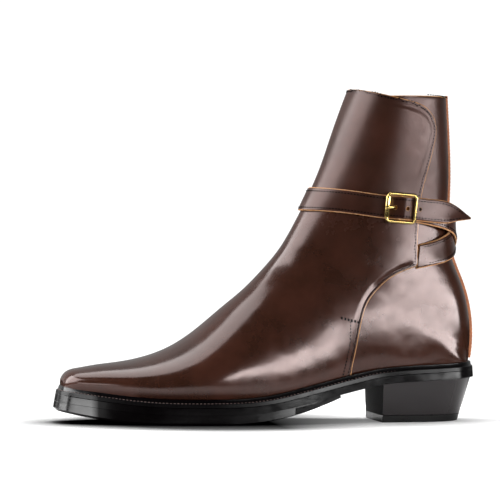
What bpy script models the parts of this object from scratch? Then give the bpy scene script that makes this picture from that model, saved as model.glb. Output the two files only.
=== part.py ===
"""Jodhpur boot for the left foot, on a chiselled last with an underslung heel.

The toe points along -X and the side with the buckle (lateral) faces -Y. Tables are in millimetres
in the last's own frame; built() moves them so that the boot stands centred on the origin.
"""

import math
from collections import namedtuple

import bmesh
import bpy
import numpy as np
from mathutils import Vector
from mathutils.bvhtree import BVHTree

MM = 0.001
GAP = 0.3
ORIGIN = np.array((1.9, -0.9, 0.0))

# Upper
WALL = 2.0
PANEL = 1.4
PANEL_TOP = GAP + PANEL
PANEL_FOOT = 0.7
PIPING_PROUD = 1.6
PIPING_WIDTH = 2.2

# Sole
WELT_THICK = 3.0
MIDSOLE_THICK = 4.7
WELT_REACH = 4.9
SEAT_REACH = 3.8
WELT_ENDS_AT = 90.0
LIP_HEIGHT = 3.0
LIP_THICK = 0.9
LIP_FLARE, SEAT_LIP_FLARE = 2.1, 2.9
EDGE_BEVEL = 1.2
FLAT_FROM, FLAT_TO = -74.0, -34.0
TOE_END, TOE_SPRING, TOE_POWER = -147.0, 9.6, 1.75
SKIVE_END, SKIVE_RISE, SKIVE_POWER = 46.0, 18.3, 1.85
EDGE_LEAN = 1.4
INSOLE_THICK = 2.6

# Heel
BREAST_X = 79.8
HEEL_BACK_X = 149.0
HEEL_TOP_Z = 29.5
HEEL_UNDERCUT = 9.0
HEEL_NARROWING = 0.14
TOP_PIECE = 5.0

# Straps and buckle
STRAP_WIDTH = 16.4
STRAP_THICK = 1.7
CHAPE_THICK = 1.3
HOLES = (-4.5, 4.0, 13.9)
ANKLE_X = 80.0
ANKLE_RADIUS = 45.0
HOLE_RADIUS = 2.0
BUCKLE_LENGTH, BUCKLE_HEIGHT = 20.2, 19.4
BUCKLE_WIRE = 1.05
BUCKLE_CORNER = 2.6
BUCKLE_ANGLE, BUCKLE_Z, BUCKLE_LIFT = -72.3, 150.9, 7.2
BUCKLE_TILT = 5.0
BAR_RADIUS = 0.9
BAR_DROP = 2.75
ROLLER_OUTER, ROLLER_INNER, ROLLER_LENGTH = 1.75, 1.35, 15.0
PRONG_RADIUS = 0.9
PRONG_EYE_WIRE = 0.6
# Free space round the prong's eye, in the strap that it passes through.
PRONG_EYE_ROOM = 0.75

# One row for each section of the last, from the toe's edge to just above the collar. A section runs
# from the feather edge (or the back seam) over the ridge, and its plane fans round the instep.
Section = namedtuple(
    "Section",
    "ridge_x ridge_y ridge_z lat_x med_x rise lat_y med_y lat_wide med_wide widest top_round heel_round",
)
LAST = [
    Section(-141.0, 6.0, 23.8, -140.5, -140.5, 0.6, -5.0, 17.0, -5.3, 17.3, 0.40, 2.30, 1.00),
    Section(-141.4, 6.0, 29.4, -139.0, -139.0, 0.6, -9.5, 21.5, -10.3, 22.3, 0.40, 2.30, 1.00),
    Section(-140.0, 6.0, 32.8, -135.3, -135.3, 0.6, -13.0, 25.0, -14.2, 26.2, 0.40, 2.30, 1.00),
    Section(-136.3, 6.0, 35.5, -129.0, -129.0, 0.6, -16.8, 28.5, -18.3, 30.0, 0.40, 2.30, 1.00),
    Section(-128.5, 6.0, 37.1, -119.8, -120.3, 0.6, -21.4, 32.0, -23.0, 33.6, 0.39, 2.25, 1.00),
    Section(-116.3, 6.0, 39.1, -107.0, -108.3, 0.6, -27.2, 36.0, -29.0, 37.8, 0.38, 2.20, 1.00),
    Section(-101.0, 5.8, 41.0, -92.0, -94.0, 0.6, -33.6, 40.2, -35.6, 42.1, 0.36, 2.15, 1.00),
    Section(-83.7, 5.4, 44.6, -75.5, -78.5, 0.6, -40.0, 43.9, -42.2, 46.0, 0.34, 2.10, 1.00),
    Section(-65.2, 5.0, 51.7, -57.5, -61.5, 0.6, -45.0, 45.6, -47.3, 47.8, 0.32, 2.05, 1.00),
    Section(-46.9, 4.5, 63.7, -37.5, -42.5, 0.6, -47.4, 44.6, -49.7, 46.8, 0.30, 2.00, 1.00),
    Section(-29.4, 3.9, 78.4, -15.0, -21.5, 0.6, -45.8, 40.6, -48.1, 43.2, 0.30, 2.00, 1.00),
    Section(-13.8, 3.2, 91.4, 9.5, 2.0, 0.6, -41.0, 35.4, -43.6, 39.2, 0.30, 2.05, 1.00),
    Section(-2.0, 2.3, 103.2, 37.0, 30.5, 0.6, -35.0, 31.2, -38.2, 36.0, 0.30, 2.15, 1.00),
    Section(5.9, 1.3, 112.0, 67.0, 63.0, 0.6, -31.6, 29.8, -35.2, 34.2, 0.31, 2.25, 1.10),
    Section(11.2, 0.5, 118.6, 96.0, 94.5, 0.6, -32.0, 31.4, -34.8, 34.2, 0.32, 2.35, 1.35),
    Section(15.0, 0.0, 124.0, 121.0, 120.5, 0.6, -30.0, 29.8, -34.6, 34.2, 0.34, 2.40, 1.70),
    Section(18.2, 0.0, 129.2, 136.8, 136.8, 0.6, -21.6, 21.6, -34.3, 34.0, 0.36, 2.40, 2.00),
    Section(21.2, 0.0, 134.4, 144.6, 144.6, 0.9, -10.4, 10.4, -34.0, 33.8, 0.38, 2.40, 2.15),
    Section(24.0, 0.0, 139.6, 147.3, 147.3, 5.5, 0.0, 0.0, -33.8, 33.6, 0.40, 2.38, 2.20),
    Section(26.8, 0.0, 144.9, 148.7, 148.7, 17.5, 0.0, 0.0, -33.6, 33.4, 0.42, 2.35, 2.20),
    Section(29.7, 0.0, 150.5, 148.0, 148.0, 36.0, 0.0, 0.0, -33.4, 33.2, 0.44, 2.30, 2.15),
    Section(33.2, 0.0, 157.8, 142.9, 142.9, 57.5, 0.0, 0.0, -33.5, 33.3, 0.46, 2.25, 2.10),
    Section(37.9, 0.0, 167.8, 134.9, 134.9, 79.0, 0.0, 0.0, -34.0, 33.8, 0.48, 2.20, 2.10),
    Section(43.8, 0.0, 182.2, 132.0, 132.0, 103.0, 0.0, 0.0, -35.0, 34.8, 0.50, 2.15, 2.10),
    Section(50.0, 0.0, 200.2, 132.9, 132.9, 131.0, 0.0, 0.0, -36.2, 36.0, 0.50, 2.10, 2.10),
    Section(56.4, 0.0, 217.9, 132.3, 132.3, 161.5, 0.0, 0.0, -37.3, 37.1, 0.50, 2.10, 2.10),
    Section(62.6, 0.0, 233.6, 130.8, 130.8, 193.1, 0.0, 0.0, -38.0, 38.0, 0.50, 2.10, 2.10),
    Section(69.4, 0.0, 249.5, 129.8, 129.8, 216.0, 0.0, 0.0, -38.4, 38.4, 0.50, 2.10, 2.10),
]
BACK_CLOSES = 18
COLLAR = 26
RIDGE_SHARE = 0.62
SIDE_CURVE = 2.2

# Height of the welt's upper face along the boot, as (x, z).
WELT_LINE = [
    (-147.0, 23.4),
    (-133.0, 21.5),
    (-115.0, 19.0),
    (-95.0, 16.6),
    (-72.0, 15.2),
    (-45.0, 15.0),
    (-22.0, 15.4),
    (-4.0, 17.0),
    (14.0, 20.3),
    (34.0, 25.0),
    (56.0, 30.3),
    (77.0, 34.7),
    (92.0, 36.4),
    (120.0, 37.8),
    (152.0, 39.2),
]

# Side outline of the front panel and its flap behind the toe, as (x, z), feather edge to collar front.
PANEL_EDGE = [
    (56.5, 31.2),
    (57.2, 38.0),
    (59.4, 49.0),
    (62.0, 62.5),
    (64.4, 73.5),
    (68.4, 84.5),
    (75.4, 93.6),
    (84.0, 101.2),
    (94.0, 106.4),
    (104.3, 109.8),
    (104.3, 128.0),
    (105.0, 140.0),
    (107.2, 160.0),
    (112.6, 179.6),
    (117.2, 196.5),
    (118.6, 205.0),
    (117.4, 212.0),
    (113.6, 218.2),
    (107.0, 223.0),
    (98.0, 225.9),
    (84.0, 229.4),
    (71.0, 232.7),
    (60.0, 235.4),
    (44.0, 239.0),
]

# Top of the wall as (x, z): just under the flap's edge in front, level over the quarters behind.
COLLAR_LINE = [(40.0, 239.6), (60.0, 235.0), (71.0, 232.3), (82.0, 229.5), (150.0, 229.5)]

# The straps' centre lines round the ankle: angle from the back (lateral negative), height, clear
# height above the upper, and half widths above and below the line.
Wrap = namedtuple("Wrap", "angle z lift up down")
HALF = STRAP_WIDTH / 2
BILLET = [
    Wrap(-50.5, 117.2, 0.5, HALF, HALF),
    Wrap(-38.0, 119.6, 1.0, HALF, HALF),
    Wrap(-24.0, 123.4, 1.9, HALF, HALF),
    Wrap(-10.0, 128.6, 2.6, HALF, HALF),
    Wrap(4.0, 133.6, 2.6, HALF, HALF),
    Wrap(18.0, 138.4, 2.4, HALF, HALF),
    Wrap(34.0, 142.8, 2.3, HALF, HALF),
    Wrap(55.0, 146.6, 2.3, HALF, HALF),
    Wrap(80.0, 150.2, 2.2, HALF, HALF),
    Wrap(105.0, 153.0, 2.2, HALF, HALF),
    Wrap(130.0, 155.2, 2.2, HALF, HALF),
    Wrap(152.0, 156.6, 2.2, HALF, HALF),
    Wrap(170.0, 157.3, 2.2, HALF, HALF),
    Wrap(188.0, 157.3, 2.2, HALF, HALF),
    Wrap(206.0, 156.7, 2.2, HALF, HALF),
    Wrap(226.0, 155.4, 2.2, HALF, HALF),
    Wrap(246.0, 153.6, 2.3, HALF, HALF),
    Wrap(262.0, 152.1, 2.3, HALF, HALF),
    Wrap(272.0, 151.4, 2.7, HALF, HALF),
    Wrap(280.0, 150.9, 5.3, HALF, HALF),
    Wrap(287.6, 150.4, 7.7, HALF, HALF),
    Wrap(295.0, 149.9, 5.3, HALF, HALF),
    Wrap(303.5, 149.5, 3.7, HALF, HALF),
    Wrap(312.0, 148.7, 5.2, HALF, HALF),
    Wrap(320.0, 147.8, 8.4, HALF - 0.2, HALF - 0.1),
    Wrap(326.0, 146.7, 12.0, HALF - 2.4, HALF - 1.4),
    Wrap(330.5, 145.4, 15.4, 3.2, 3.6),
    Wrap(333.6, 144.4, 18.0, 0.7, 0.9),
]
BILLET_STATIONS = np.concatenate([np.linspace(0, 17, 35), np.arange(17.5, 23, 0.25), np.linspace(23, 27, 9)])
CHAPE = [
    Wrap(50.5, 117.2, 0.5, HALF, HALF),
    Wrap(40.0, 119.2, 1.2, HALF, HALF),
    Wrap(31.0, 121.6, 3.4, HALF, HALF),
    Wrap(20.0, 125.0, 4.8, HALF, HALF),
    Wrap(8.0, 130.0, 5.0, HALF, HALF),
    Wrap(-4.0, 135.4, 5.0, HALF, HALF),
    Wrap(-16.0, 140.4, 4.7, HALF, HALF),
    Wrap(-28.0, 143.9, 3.4, HALF, HALF),
    Wrap(-40.0, 146.2, 2.2, HALF, HALF),
    Wrap(-52.0, 147.9, 2.1, HALF, HALF),
    Wrap(-62.0, 149.2, 2.2, HALF, HALF),
]
CHAPE_STATIONS = np.linspace(0, 10, 29)


def natural_spline(knots, values):
    """A function that reads a natural cubic curve through the values at the knots."""
    knots = np.asarray(knots, float)
    values = np.asarray(values, float)
    steps = np.diff(knots)
    count = len(knots)
    system = np.eye(count)
    bend = np.zeros(count)
    for i in range(1, count - 1):
        system[i, i - 1 : i + 2] = steps[i - 1], 2 * (steps[i - 1] + steps[i]), steps[i]
        slope_after = (values[i + 1] - values[i]) / steps[i]
        slope_before = (values[i] - values[i - 1]) / steps[i - 1]
        bend[i] = 6 * (slope_after - slope_before)
    curve = np.linalg.solve(system, bend)

    def read(at):
        at = np.asarray(at, float)
        i = np.clip(np.searchsorted(knots, at) - 1, 0, count - 2)
        width = steps[i]
        after = (at - knots[i]) / width
        before = 1 - after
        swell = (before**3 - before) * curve[i] + (after**3 - after) * curve[i + 1]
        return before * values[i] + after * values[i + 1] + swell * width**2 / 6

    return read


ROWS = np.array(LAST)
SPLINES = {}
for column_index, column_name in enumerate(Section._fields):
    last_row = BACK_CLOSES if column_name in ("lat_y", "med_y") else len(ROWS) - 1
    SPLINES[column_name] = natural_spline(np.arange(last_row + 1), ROWS[: last_row + 1, column_index])
welt_line = natural_spline(*zip(*WELT_LINE))


def column(name, t):
    if name in ("lat_y", "med_y"):
        return np.where(t < BACK_CLOSES, SPLINES[name](np.minimum(t, BACK_CLOSES)), 0.0)
    if name == "med_x":
        return np.where(t < BACK_CLOSES, SPLINES[name](t), SPLINES["lat_x"](t))
    return SPLINES[name](t)


def last_point(t, s):
    """Points of the upper's outer face: t counts sections, s runs -1 lateral, 0 ridge, 1 medial."""
    t, s = np.broadcast_arrays(np.asarray(t, float), np.asarray(s, float))
    lateral = s < 0
    reach = np.abs(s)
    middle = column("ridge_y", t)
    base_x = np.where(lateral, column("lat_x", t), column("med_x", t))
    base_z = welt_line(base_x) + column("rise", t)
    base_width = np.where(lateral, middle - column("lat_y", t), column("med_y", t) - middle)
    base_width = np.maximum(base_width, 0.0)
    full_width = np.where(lateral, middle - column("lat_wide", t), column("med_wide", t) - middle)
    widest = column("widest", t)
    up = np.clip(1 - reach / RIDGE_SHARE, 0, 1) * math.pi / 2
    down = np.clip((reach - RIDGE_SHARE) / (1 - RIDGE_SHARE), 0, 1) * math.pi / 2
    top_power = 2 / column("top_round", t)
    heel_power = 2 / np.maximum(column("heel_round", t), 1.0)
    above = widest + (1 - widest) * np.sin(up) ** top_power
    below = widest * (1 - np.sin(down) ** (2 / SIDE_CURVE))
    width_above = full_width * np.maximum(np.cos(up), 0) ** top_power
    width_below = base_width + (full_width - base_width) * np.maximum(np.cos(down), 0) ** heel_power
    on_top = reach <= RIDGE_SHARE
    q = np.where(on_top, above, below)
    width = np.where(on_top, width_above, width_below)
    x = base_x + (column("ridge_x", t) - base_x) * q
    z = base_z + (column("ridge_z", t) - base_z) * q
    y = middle + np.where(lateral, -width, width)
    return np.stack([x, y, z], axis=-1)


def last_surface(t, s, lift=0.0):
    """The same points moved outwards by lift along the surface's normal."""
    t, s = np.broadcast_arrays(np.asarray(t, float), np.asarray(s, float))
    step_t, step_s = 0.02, 0.004
    along = last_point(t + step_t, s) - last_point(t - step_t, s)
    across = last_point(t, np.minimum(s + step_s, 1)) - last_point(t, np.maximum(s - step_s, -1))
    normal = np.cross(along, across)
    on_seam = (np.abs(s) == 1) & (t >= BACK_CLOSES)
    normal[..., 1] = np.where(on_seam, 0, normal[..., 1])
    length = np.linalg.norm(normal, axis=-1, keepdims=True)
    return last_point(t, s) + lift * normal / np.maximum(length, 1e-9)


def built(points):
    """Table millimetres to world metres."""
    return (np.asarray(points, float) - ORIGIN) * MM


def section_steps(end):
    """Section numbers for the faceted upper, closer together where the toe turns."""
    toe = np.array([0.0, 0.45, 1.0, 1.6, 2.4, 3.2])
    heel_and_shaft = np.array([18.5, 19.0, 19.7, 20.4, 21.1, 21.8, 22.6, 23.5, 24.6, 26.0])
    beyond = [end] if end > COLLAR else []
    return np.concatenate([toe, np.linspace(4.0, BACK_CLOSES, 16), heel_and_shaft, beyond])


def finished(name, mesh, material, collection="Jodhpur boot"):
    obj = bpy.data.objects.new(name, mesh)
    mesh.materials.append(material)
    bpy.data.collections[collection].objects.link(obj)
    return obj


def mesh_from(name, points, faces, weld=1e-6):
    """A mesh from points and faces, with doubles merged and faces turned outwards."""
    mesh = bpy.data.meshes.new(name)
    mesh.from_pydata([tuple(p) for p in points], [], faces)
    bm = bmesh.new()
    bm.from_mesh(mesh)
    bmesh.ops.remove_doubles(bm, verts=bm.verts, dist=weld)
    bmesh.ops.dissolve_degenerate(bm, edges=bm.edges, dist=weld)
    bmesh.ops.recalc_face_normals(bm, faces=bm.faces)
    closed = all(len(edge.link_faces) == 2 for edge in bm.edges)
    if closed and bm.calc_volume(signed=True) < 0:
        bmesh.ops.reverse_faces(bm, faces=bm.faces)
    bm.to_mesh(mesh)
    bm.free()
    mesh.shade_smooth()
    mesh.set_sharp_from_angle(angle=math.radians(35))
    return mesh


def grid_faces(rows, columns):
    faces = []
    for i in range(rows - 1):
        for j in range(columns - 1):
            a = i * columns + j
            faces.append((a, a + 1, a + columns + 1, a + columns))
    return faces


def upper_form(name, lift, end, across=25):
    """The open surface of the boot at a height above the upper, from the feather edge to a section."""
    t = section_steps(end)
    s = np.linspace(-1, 1, across)
    points = built(last_surface(t[:, None], s[None, :], lift)).reshape(-1, 3)
    mesh = mesh_from(name, points, grid_faces(len(t), across))
    outward = sum(face.normal.z * face.area for face in mesh.polygons)
    if outward < 0:
        mesh.flip_normals()
    return mesh


def solidify(obj, thickness, offset=-1.0):
    modifier = obj.modifiers.new("Wall", "SOLIDIFY")
    modifier.thickness = thickness * MM
    modifier.offset = offset
    modifier.use_even_offset = True
    return modifier


def boolean(obj, other, operation):
    modifier = obj.modifiers.new(operation.title(), "BOOLEAN")
    modifier.object = other
    modifier.operation = operation
    modifier.solver = "EXACT"
    return modifier


def cutter(name, mesh):
    obj = bpy.data.objects.new(name, mesh)
    bpy.data.collections["Cutters"].objects.link(obj)
    obj.hide_render = True
    obj.display_type = "WIRE"
    return obj


def plain_mesh(obj):
    """The object's evaluated mesh, in place of a curve or of modifiers."""
    graph = bpy.context.evaluated_depsgraph_get()
    mesh = bpy.data.meshes.new_from_object(obj.evaluated_get(graph))
    mesh.transform(obj.matrix_world)
    bm = bmesh.new()
    bm.from_mesh(mesh)
    bmesh.ops.remove_doubles(bm, verts=bm.verts, dist=1e-6)
    bmesh.ops.recalc_face_normals(bm, faces=bm.faces)
    bm.to_mesh(mesh)
    bm.free()
    return mesh


def material(name, colour, roughness, metallic=0.0):
    made = bpy.data.materials.new(name)
    made.use_nodes = True
    shader = made.node_tree.nodes["Principled BSDF"]
    shader.inputs["Base Color"].default_value = (*colour, 1)
    shader.inputs["Roughness"].default_value = roughness
    shader.inputs["Metallic"].default_value = metallic
    return made


def side_prism(name, outline):
    """A solid with this side outline, through the whole width of the boot."""
    half = 90.0
    points = [built((x, y, z)) for y in (-half, half) for x, z in outline]
    count = len(outline)
    faces = [tuple(range(count)), tuple(range(2 * count - 1, count - 1, -1))]
    faces += [(i, (i + 1) % count, count + (i + 1) % count, count + i) for i in range(count)]
    return cutter(name, mesh_from(name, points, faces))


def make_upper(leather):
    """The whole boot's wall: one hollow leather form, open at the collar and underneath."""
    upper = finished("upper", upper_form("upper", 0.0, COLLAR), leather)
    solidify(upper, WALL)
    upper.modifiers.new("Facets", "TRIANGULATE").quad_method = "FIXED"
    above = [*COLLAR_LINE, (150.0, 245.0), (40.0, 245.0)]
    boolean(upper, side_prism("collar_cut", above), "DIFFERENCE")


def make_front_panel(leather):
    """Vamp, shaft front and flap in one piece, cut between two larger forms of the upper."""
    panel = finished("front_panel", upper_form("front_panel", PANEL_TOP, COLLAR + 1), leather)
    solidify(panel, PANEL)
    foot = [(x, float(welt_line(x)) + PANEL_FOOT) for x in range(-170, 50, 8)]
    outline = [*foot, *PANEL_EDGE, (-170.0, 245.0)]
    boolean(panel, side_prism("panel_outline", outline), "INTERSECT")


def step_at(side, x):
    """The section number whose feather edge on this side is at x."""
    steps = np.linspace(0, BACK_CLOSES, 400)
    return float(np.interp(x, column(side + "_x", steps), steps))


def plan_edge(side, reach, x_from=None, x_to=None, count=30):
    """The sole's edge in plan on one side, at a reach outside the feather edge.

    It starts at the toe's centre or at x_from, and ends at the heel's back or at x_to. The reach
    is one distance, or a function of x.
    """
    end = BACK_CLOSES if x_to is None else step_at(side, x_to)
    if x_from is None:
        t = np.concatenate([[0.0, 0.35, 0.7, 1.1, 1.6, 2.2, 3.0], np.linspace(4.0, end, count - 7)])
    else:
        t = np.linspace(step_at(side, x_from), end, count)
    outline = np.stack([column(side + "_x", t), column(side + "_y", t)], axis=-1)
    if x_from is None:
        middle = np.array([outline[0, 0], LAST[0].ridge_y])
        outline = np.concatenate([[middle, (middle + outline[0]) / 2], outline])
    along = np.gradient(outline, axis=0)
    normal = np.stack([along[:, 1], -along[:, 0]], axis=-1)
    normal *= (1 if side == "lat" else -1) / np.linalg.norm(normal, axis=-1, keepdims=True)
    if x_to is None:
        normal[-1] = (1, 0)
    distance = reach(outline[:, 0]) if callable(reach) else reach
    return outline + normal * np.reshape(distance, (-1, 1))


def seat_share(x):
    """0 along the welted forepart, 1 at the heel seat, with a smooth change at the waist."""
    share = np.clip((np.asarray(x) - 60.0) / 22.0, 0, 1)
    return share * share * (3 - 2 * share)


def blended(front, back, more=0.0):
    return lambda x: front + (back - front) * seat_share(x) + more


def tread_height(x):
    """The outsole's underside: flat under the ball, rising to the toe and to the waist."""
    toe = max((FLAT_FROM - x) / (FLAT_FROM - TOE_END), 0.0)
    waist = max((x - FLAT_TO) / (SKIVE_END - FLAT_TO), 0.0)
    return TOE_SPRING * toe**TOE_POWER + SKIVE_RISE * waist**SKIVE_POWER


def under_welt(x, y, depth):
    """A point of the sole's side at a depth below the welt line, square to the sole."""
    slope = (welt_line(x + 1) - welt_line(x - 1)) / 2
    return float(x + EDGE_LEAN * slope * depth), float(y), float(welt_line(x) - depth)


def at_tread(x, y, above=0.0):
    depth = welt_line(x) - tread_height(x) - above
    return under_welt(x, y, depth)


def loft(name, rings):
    """A solid through rings of equal counts, with its first and last ring closed."""
    rings = np.asarray(rings, float)
    count, size = rings.shape[:2]
    faces = []
    for i in range(count - 1):
        for j in range(size):
            a, b = i * size + j, i * size + (j + 1) % size
            faces.append((a, b, b + size, a + size))
    faces.append(tuple(range(size)))
    faces.append(tuple(range((count - 1) * size, count * size)))
    return mesh_from(name, built(rings).reshape(-1, 3), faces)


def layer(name, levels, **span):
    """A sole layer. Each level, from the lowest, is a reach and a function that places its points."""
    sides = []
    for side in ("lat", "med"):
        sides.append([[place(x, y) for x, y in plan_edge(side, reach, **span)] for reach, place in levels])
    lateral, medial = sides
    stations = range(len(lateral[0]))
    rings = [[c[i] for c in lateral] + [c[i] for c in reversed(medial)] for i in stations]
    return loft(name, rings)


def rim(name, profile, x_from, x_to, count):
    """A strip with the profile (reach, height) round the toe, or round the heel from x_from."""
    halves = []
    for side in ("lat", "med"):
        edges = [plan_edge(side, reach, x_from, x_to, count) for reach, _ in profile]
        stations = range(len(edges[0]))
        halves.append(
            [[under_welt(*edge[i], -height) for edge, (_, height) in zip(edges, profile)] for i in stations]
        )
    lateral, medial = halves
    if x_from is None:
        rings = lateral[::-1] + medial[1:]
    else:
        rings = lateral + medial[::-1]
    return loft(name, rings)


def lip_profile(outer):
    """The welt's section: a flat shelf with an upturned lip against the upper."""
    front, seat = PANEL_TOP + GAP, GAP
    lip_foot = blended(front, seat)
    lip_top_in = blended(front + LIP_FLARE, seat + SEAT_LIP_FLARE)
    lip_top_out = blended(front + LIP_FLARE + LIP_THICK, seat + SEAT_LIP_FLARE + LIP_THICK)
    lip_foot_out = blended(front + LIP_THICK + LIP_FLARE / 2, seat + LIP_THICK + SEAT_LIP_FLARE / 2)
    return [
        (-6.0, -WELT_THICK),
        (outer, -WELT_THICK),
        (outer, 0.0),
        (lip_foot_out, 0.0),
        (lip_top_out, LIP_HEIGHT),
        (lip_top_in, LIP_HEIGHT),
        (lip_foot, 0.0),
        (-6.0, 0.0),
    ]


def make_sole(black):
    """Welt with its lip, heel rand, full midsole and forepart outsole skived off at the waist."""
    edge = blended(WELT_REACH, SEAT_REACH)
    midsole_top = WELT_THICK + GAP
    midsole_bottom = midsole_top + MIDSOLE_THICK
    outsole_top = midsole_bottom + GAP
    finished("welt", rim("welt", lip_profile(edge), None, WELT_ENDS_AT, 34), black)
    finished("heel_rand", rim("heel_rand", lip_profile(edge), WELT_ENDS_AT + 0.6, None, 16), black)
    midsole = [
        (edge, lambda x, y: under_welt(x, y, midsole_bottom)),
        (edge, lambda x, y: under_welt(x, y, midsole_top)),
    ]
    finished("midsole", layer("midsole", midsole, count=34), black)
    outsole = [
        (blended(WELT_REACH, SEAT_REACH, -EDGE_BEVEL), at_tread),
        (edge, lambda x, y: at_tread(x, y, EDGE_BEVEL)),
        (edge, lambda x, y: under_welt(x, y, outsole_top)),
    ]
    finished("outsole", layer("outsole", outsole, x_to=SKIVE_END - 1, count=28), black)


def heel_point(z_at):
    """Places a heel edge point: the block narrows and moves forward towards the floor."""

    def place(x, y):
        z = float(z_at(x))
        down = 1 - z / HEEL_TOP_Z
        length = HEEL_BACK_X - BREAST_X
        share = (x - BREAST_X) / (length + 2.0)
        return BREAST_X + share * (length - HEEL_UNDERCUT * down), y * (1 - HEEL_NARROWING * down), z

    return place


def make_heel(black, rubber):
    """Stacked heel with a separate rubber top piece that stands on the floor."""
    inset = SEAT_REACH - 1.0
    stack_top = WELT_THICK + MIDSOLE_THICK + 3 * GAP
    stack = [
        (inset, heel_point(lambda x: TOP_PIECE + GAP)),
        (inset, heel_point(lambda x: 0.5 * HEEL_TOP_Z)),
        (inset, heel_point(lambda x: welt_line(x) - stack_top)),
    ]
    finished("heel_stack", layer("heel_stack", stack, x_from=BREAST_X, count=20), black)
    piece = [(inset, heel_point(lambda x: 0.0)), (inset, heel_point(lambda x: TOP_PIECE))]
    finished("heel_top_piece", layer("heel_top_piece", piece, x_from=BREAST_X, count=20), rubber)


def make_insole(lining):
    inside = -(WALL + 2 * GAP)
    levels = [
        (inside, lambda x, y: (x, y, welt_line(x) + GAP)),
        (inside, lambda x, y: (x, y, welt_line(x) + GAP + INSOLE_THICK)),
    ]
    finished("insole", layer("insole", levels, count=30), lining)


def make_piping(tan):
    """The raised strip down the back seam."""
    t = section_steps(COLLAR)
    t = t[t >= BACK_CLOSES]
    inner = last_surface(t, 1.0, GAP)
    outer = last_surface(t, 1.0, GAP + PIPING_PROUD)
    half = PIPING_WIDTH / 2
    rings = []
    for low, high in zip(inner, outer):
        rings.append([(p[0], side * half, p[2]) for p, side in ((low, -1), (high, -1), (high, 1), (low, 1))])
    finished("back_piping", loft("back_piping", rings), tan)


def ankle_tree():
    t = np.linspace(11, COLLAR, 90)
    s = np.linspace(-1, 1, 121)
    points = last_point(t[:, None], s[None, :]).reshape(-1, 3)
    return BVHTree.FromPolygons(points.tolist(), grid_faces(len(t), len(s)))


def beside_ankle(tree, angle, z, lift):
    """The point at this angle and height, at a clear height above the upper."""
    way = Vector((math.cos(math.radians(angle)), math.sin(math.radians(angle)), 0))
    start = Vector((ANKLE_X, 0, z))
    hit, normal, _, distance = tree.ray_cast(start, way)
    slant = max(abs(normal.dot(way)), 0.5)
    return np.array(start + way * (distance + lift / slant))


def wrap_stations(tree, rows, places, across=3):
    """Points of a strap's inner face: one row of points across it for each station."""
    rows = np.array(rows)
    index = np.arange(len(rows))
    read = [natural_spline(index, rows[:, k]) for k in range(rows.shape[1])]
    stations = []
    for k in places:
        angle, z, lift, up, down = (float(column_at(k)) for column_at in read)
        turn = math.radians(float(read[0](k + 0.05) - read[0](k - 0.05))) * ANKLE_RADIUS
        climb = float(read[1](k + 0.05) - read[1](k - 0.05))
        length = math.hypot(turn, climb)
        sideways = math.copysign(1, turn)
        lean = -climb * sideways / length
        rise = abs(turn) / length
        station = []
        for v in np.linspace(-down, up, across):
            turned = angle + math.degrees(v * lean / ANKLE_RADIUS)
            station.append(beside_ankle(tree, turned, z + v * rise, lift))
        stations.append(station)
    return stations


def strap_mesh(name, stations):
    points = built(np.array(stations))
    rows, across = points.shape[:2]
    mesh = mesh_from(name, points.reshape(-1, 3), grid_faces(rows, across))
    face = mesh.polygons[0]
    centre = Vector(built((ANKLE_X, 0, 0)))
    outward = Vector((face.center.x - centre.x, face.center.y - centre.y, 0))
    if face.normal.dot(outward) < 0:
        mesh.flip_normals()
    return mesh


def buckle_frame(tree):
    """Axes at the buckle: its foot on the upper, then back along the strap, up, and outwards."""
    foot = Vector(beside_ankle(tree, BUCKLE_ANGLE, BUCKLE_Z, 0.0))
    before = Vector(beside_ankle(tree, BUCKLE_ANGLE - 14, BUCKLE_Z, 0.0))
    after = Vector(beside_ankle(tree, BUCKLE_ANGLE + 14, BUCKLE_Z, 0.0))
    back = (after - before).normalized()
    back = (back - Vector((0, 0, math.tan(math.radians(BUCKLE_TILT))))).normalized()
    above = Vector(beside_ankle(tree, BUCKLE_ANGLE, BUCKLE_Z + HALF, 0.0))
    below = Vector(beside_ankle(tree, BUCKLE_ANGLE, BUCKLE_Z - HALF, 0.0))
    out = back.cross(above - below).normalized()
    up = out.cross(back).normalized()
    return foot, back, up, out


def in_frame(axes, along, high, proud):
    foot, back, up, out = axes
    return np.array(foot + back * float(along) + up * float(high) + out * float(proud))


def tube(name, points, radius, cyclic=False, resolution=2):
    """A round wire through points, as a mesh."""
    curve = bpy.data.curves.new(name, "CURVE")
    curve.dimensions = "3D"
    curve.bevel_depth = radius * MM
    curve.bevel_resolution = resolution
    curve.use_fill_caps = not cyclic
    spline = curve.splines.new("POLY")
    spline.points.add(len(points) - 1)
    for point, place in zip(spline.points, points):
        point.co = (*built(place), 1)
    spline.use_cyclic_u = cyclic
    obj = bpy.data.objects.new(name, curve)
    bpy.data.collections["Cutters"].objects.link(obj)
    bpy.context.view_layer.update()
    mesh = plain_mesh(obj)
    bpy.data.objects.remove(obj)
    bpy.data.curves.remove(curve)
    return mesh


def rounded_frame(axes):
    """The buckle's outline: a rectangle with round corners, at the buckle's height."""
    points = []
    half_length, half_height = BUCKLE_LENGTH / 2 - BUCKLE_CORNER, BUCKLE_HEIGHT / 2 - BUCKLE_CORNER
    for corner, (a, b) in enumerate(((1, 1), (-1, 1), (-1, -1), (1, -1))):
        for step in range(5):
            turn = math.radians(90 * corner + 22.5 * step)
            along = a * half_length + BUCKLE_CORNER * math.cos(turn)
            high = b * half_height + BUCKLE_CORNER * math.sin(turn)
            points.append(in_frame(axes, along, high, BUCKLE_LIFT))
    return points


def prong_eye(axes):
    """The middle line of the prong's eye, a ring round the centre bar."""
    ring = BAR_RADIUS + GAP + PRONG_EYE_WIRE
    turns = [math.radians(30 * step) for step in range(12)]
    lift = BUCKLE_LIFT - BAR_DROP
    return [in_frame(axes, ring * math.cos(turn), 0.0, lift + ring * math.sin(turn)) for turn in turns]


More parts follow.
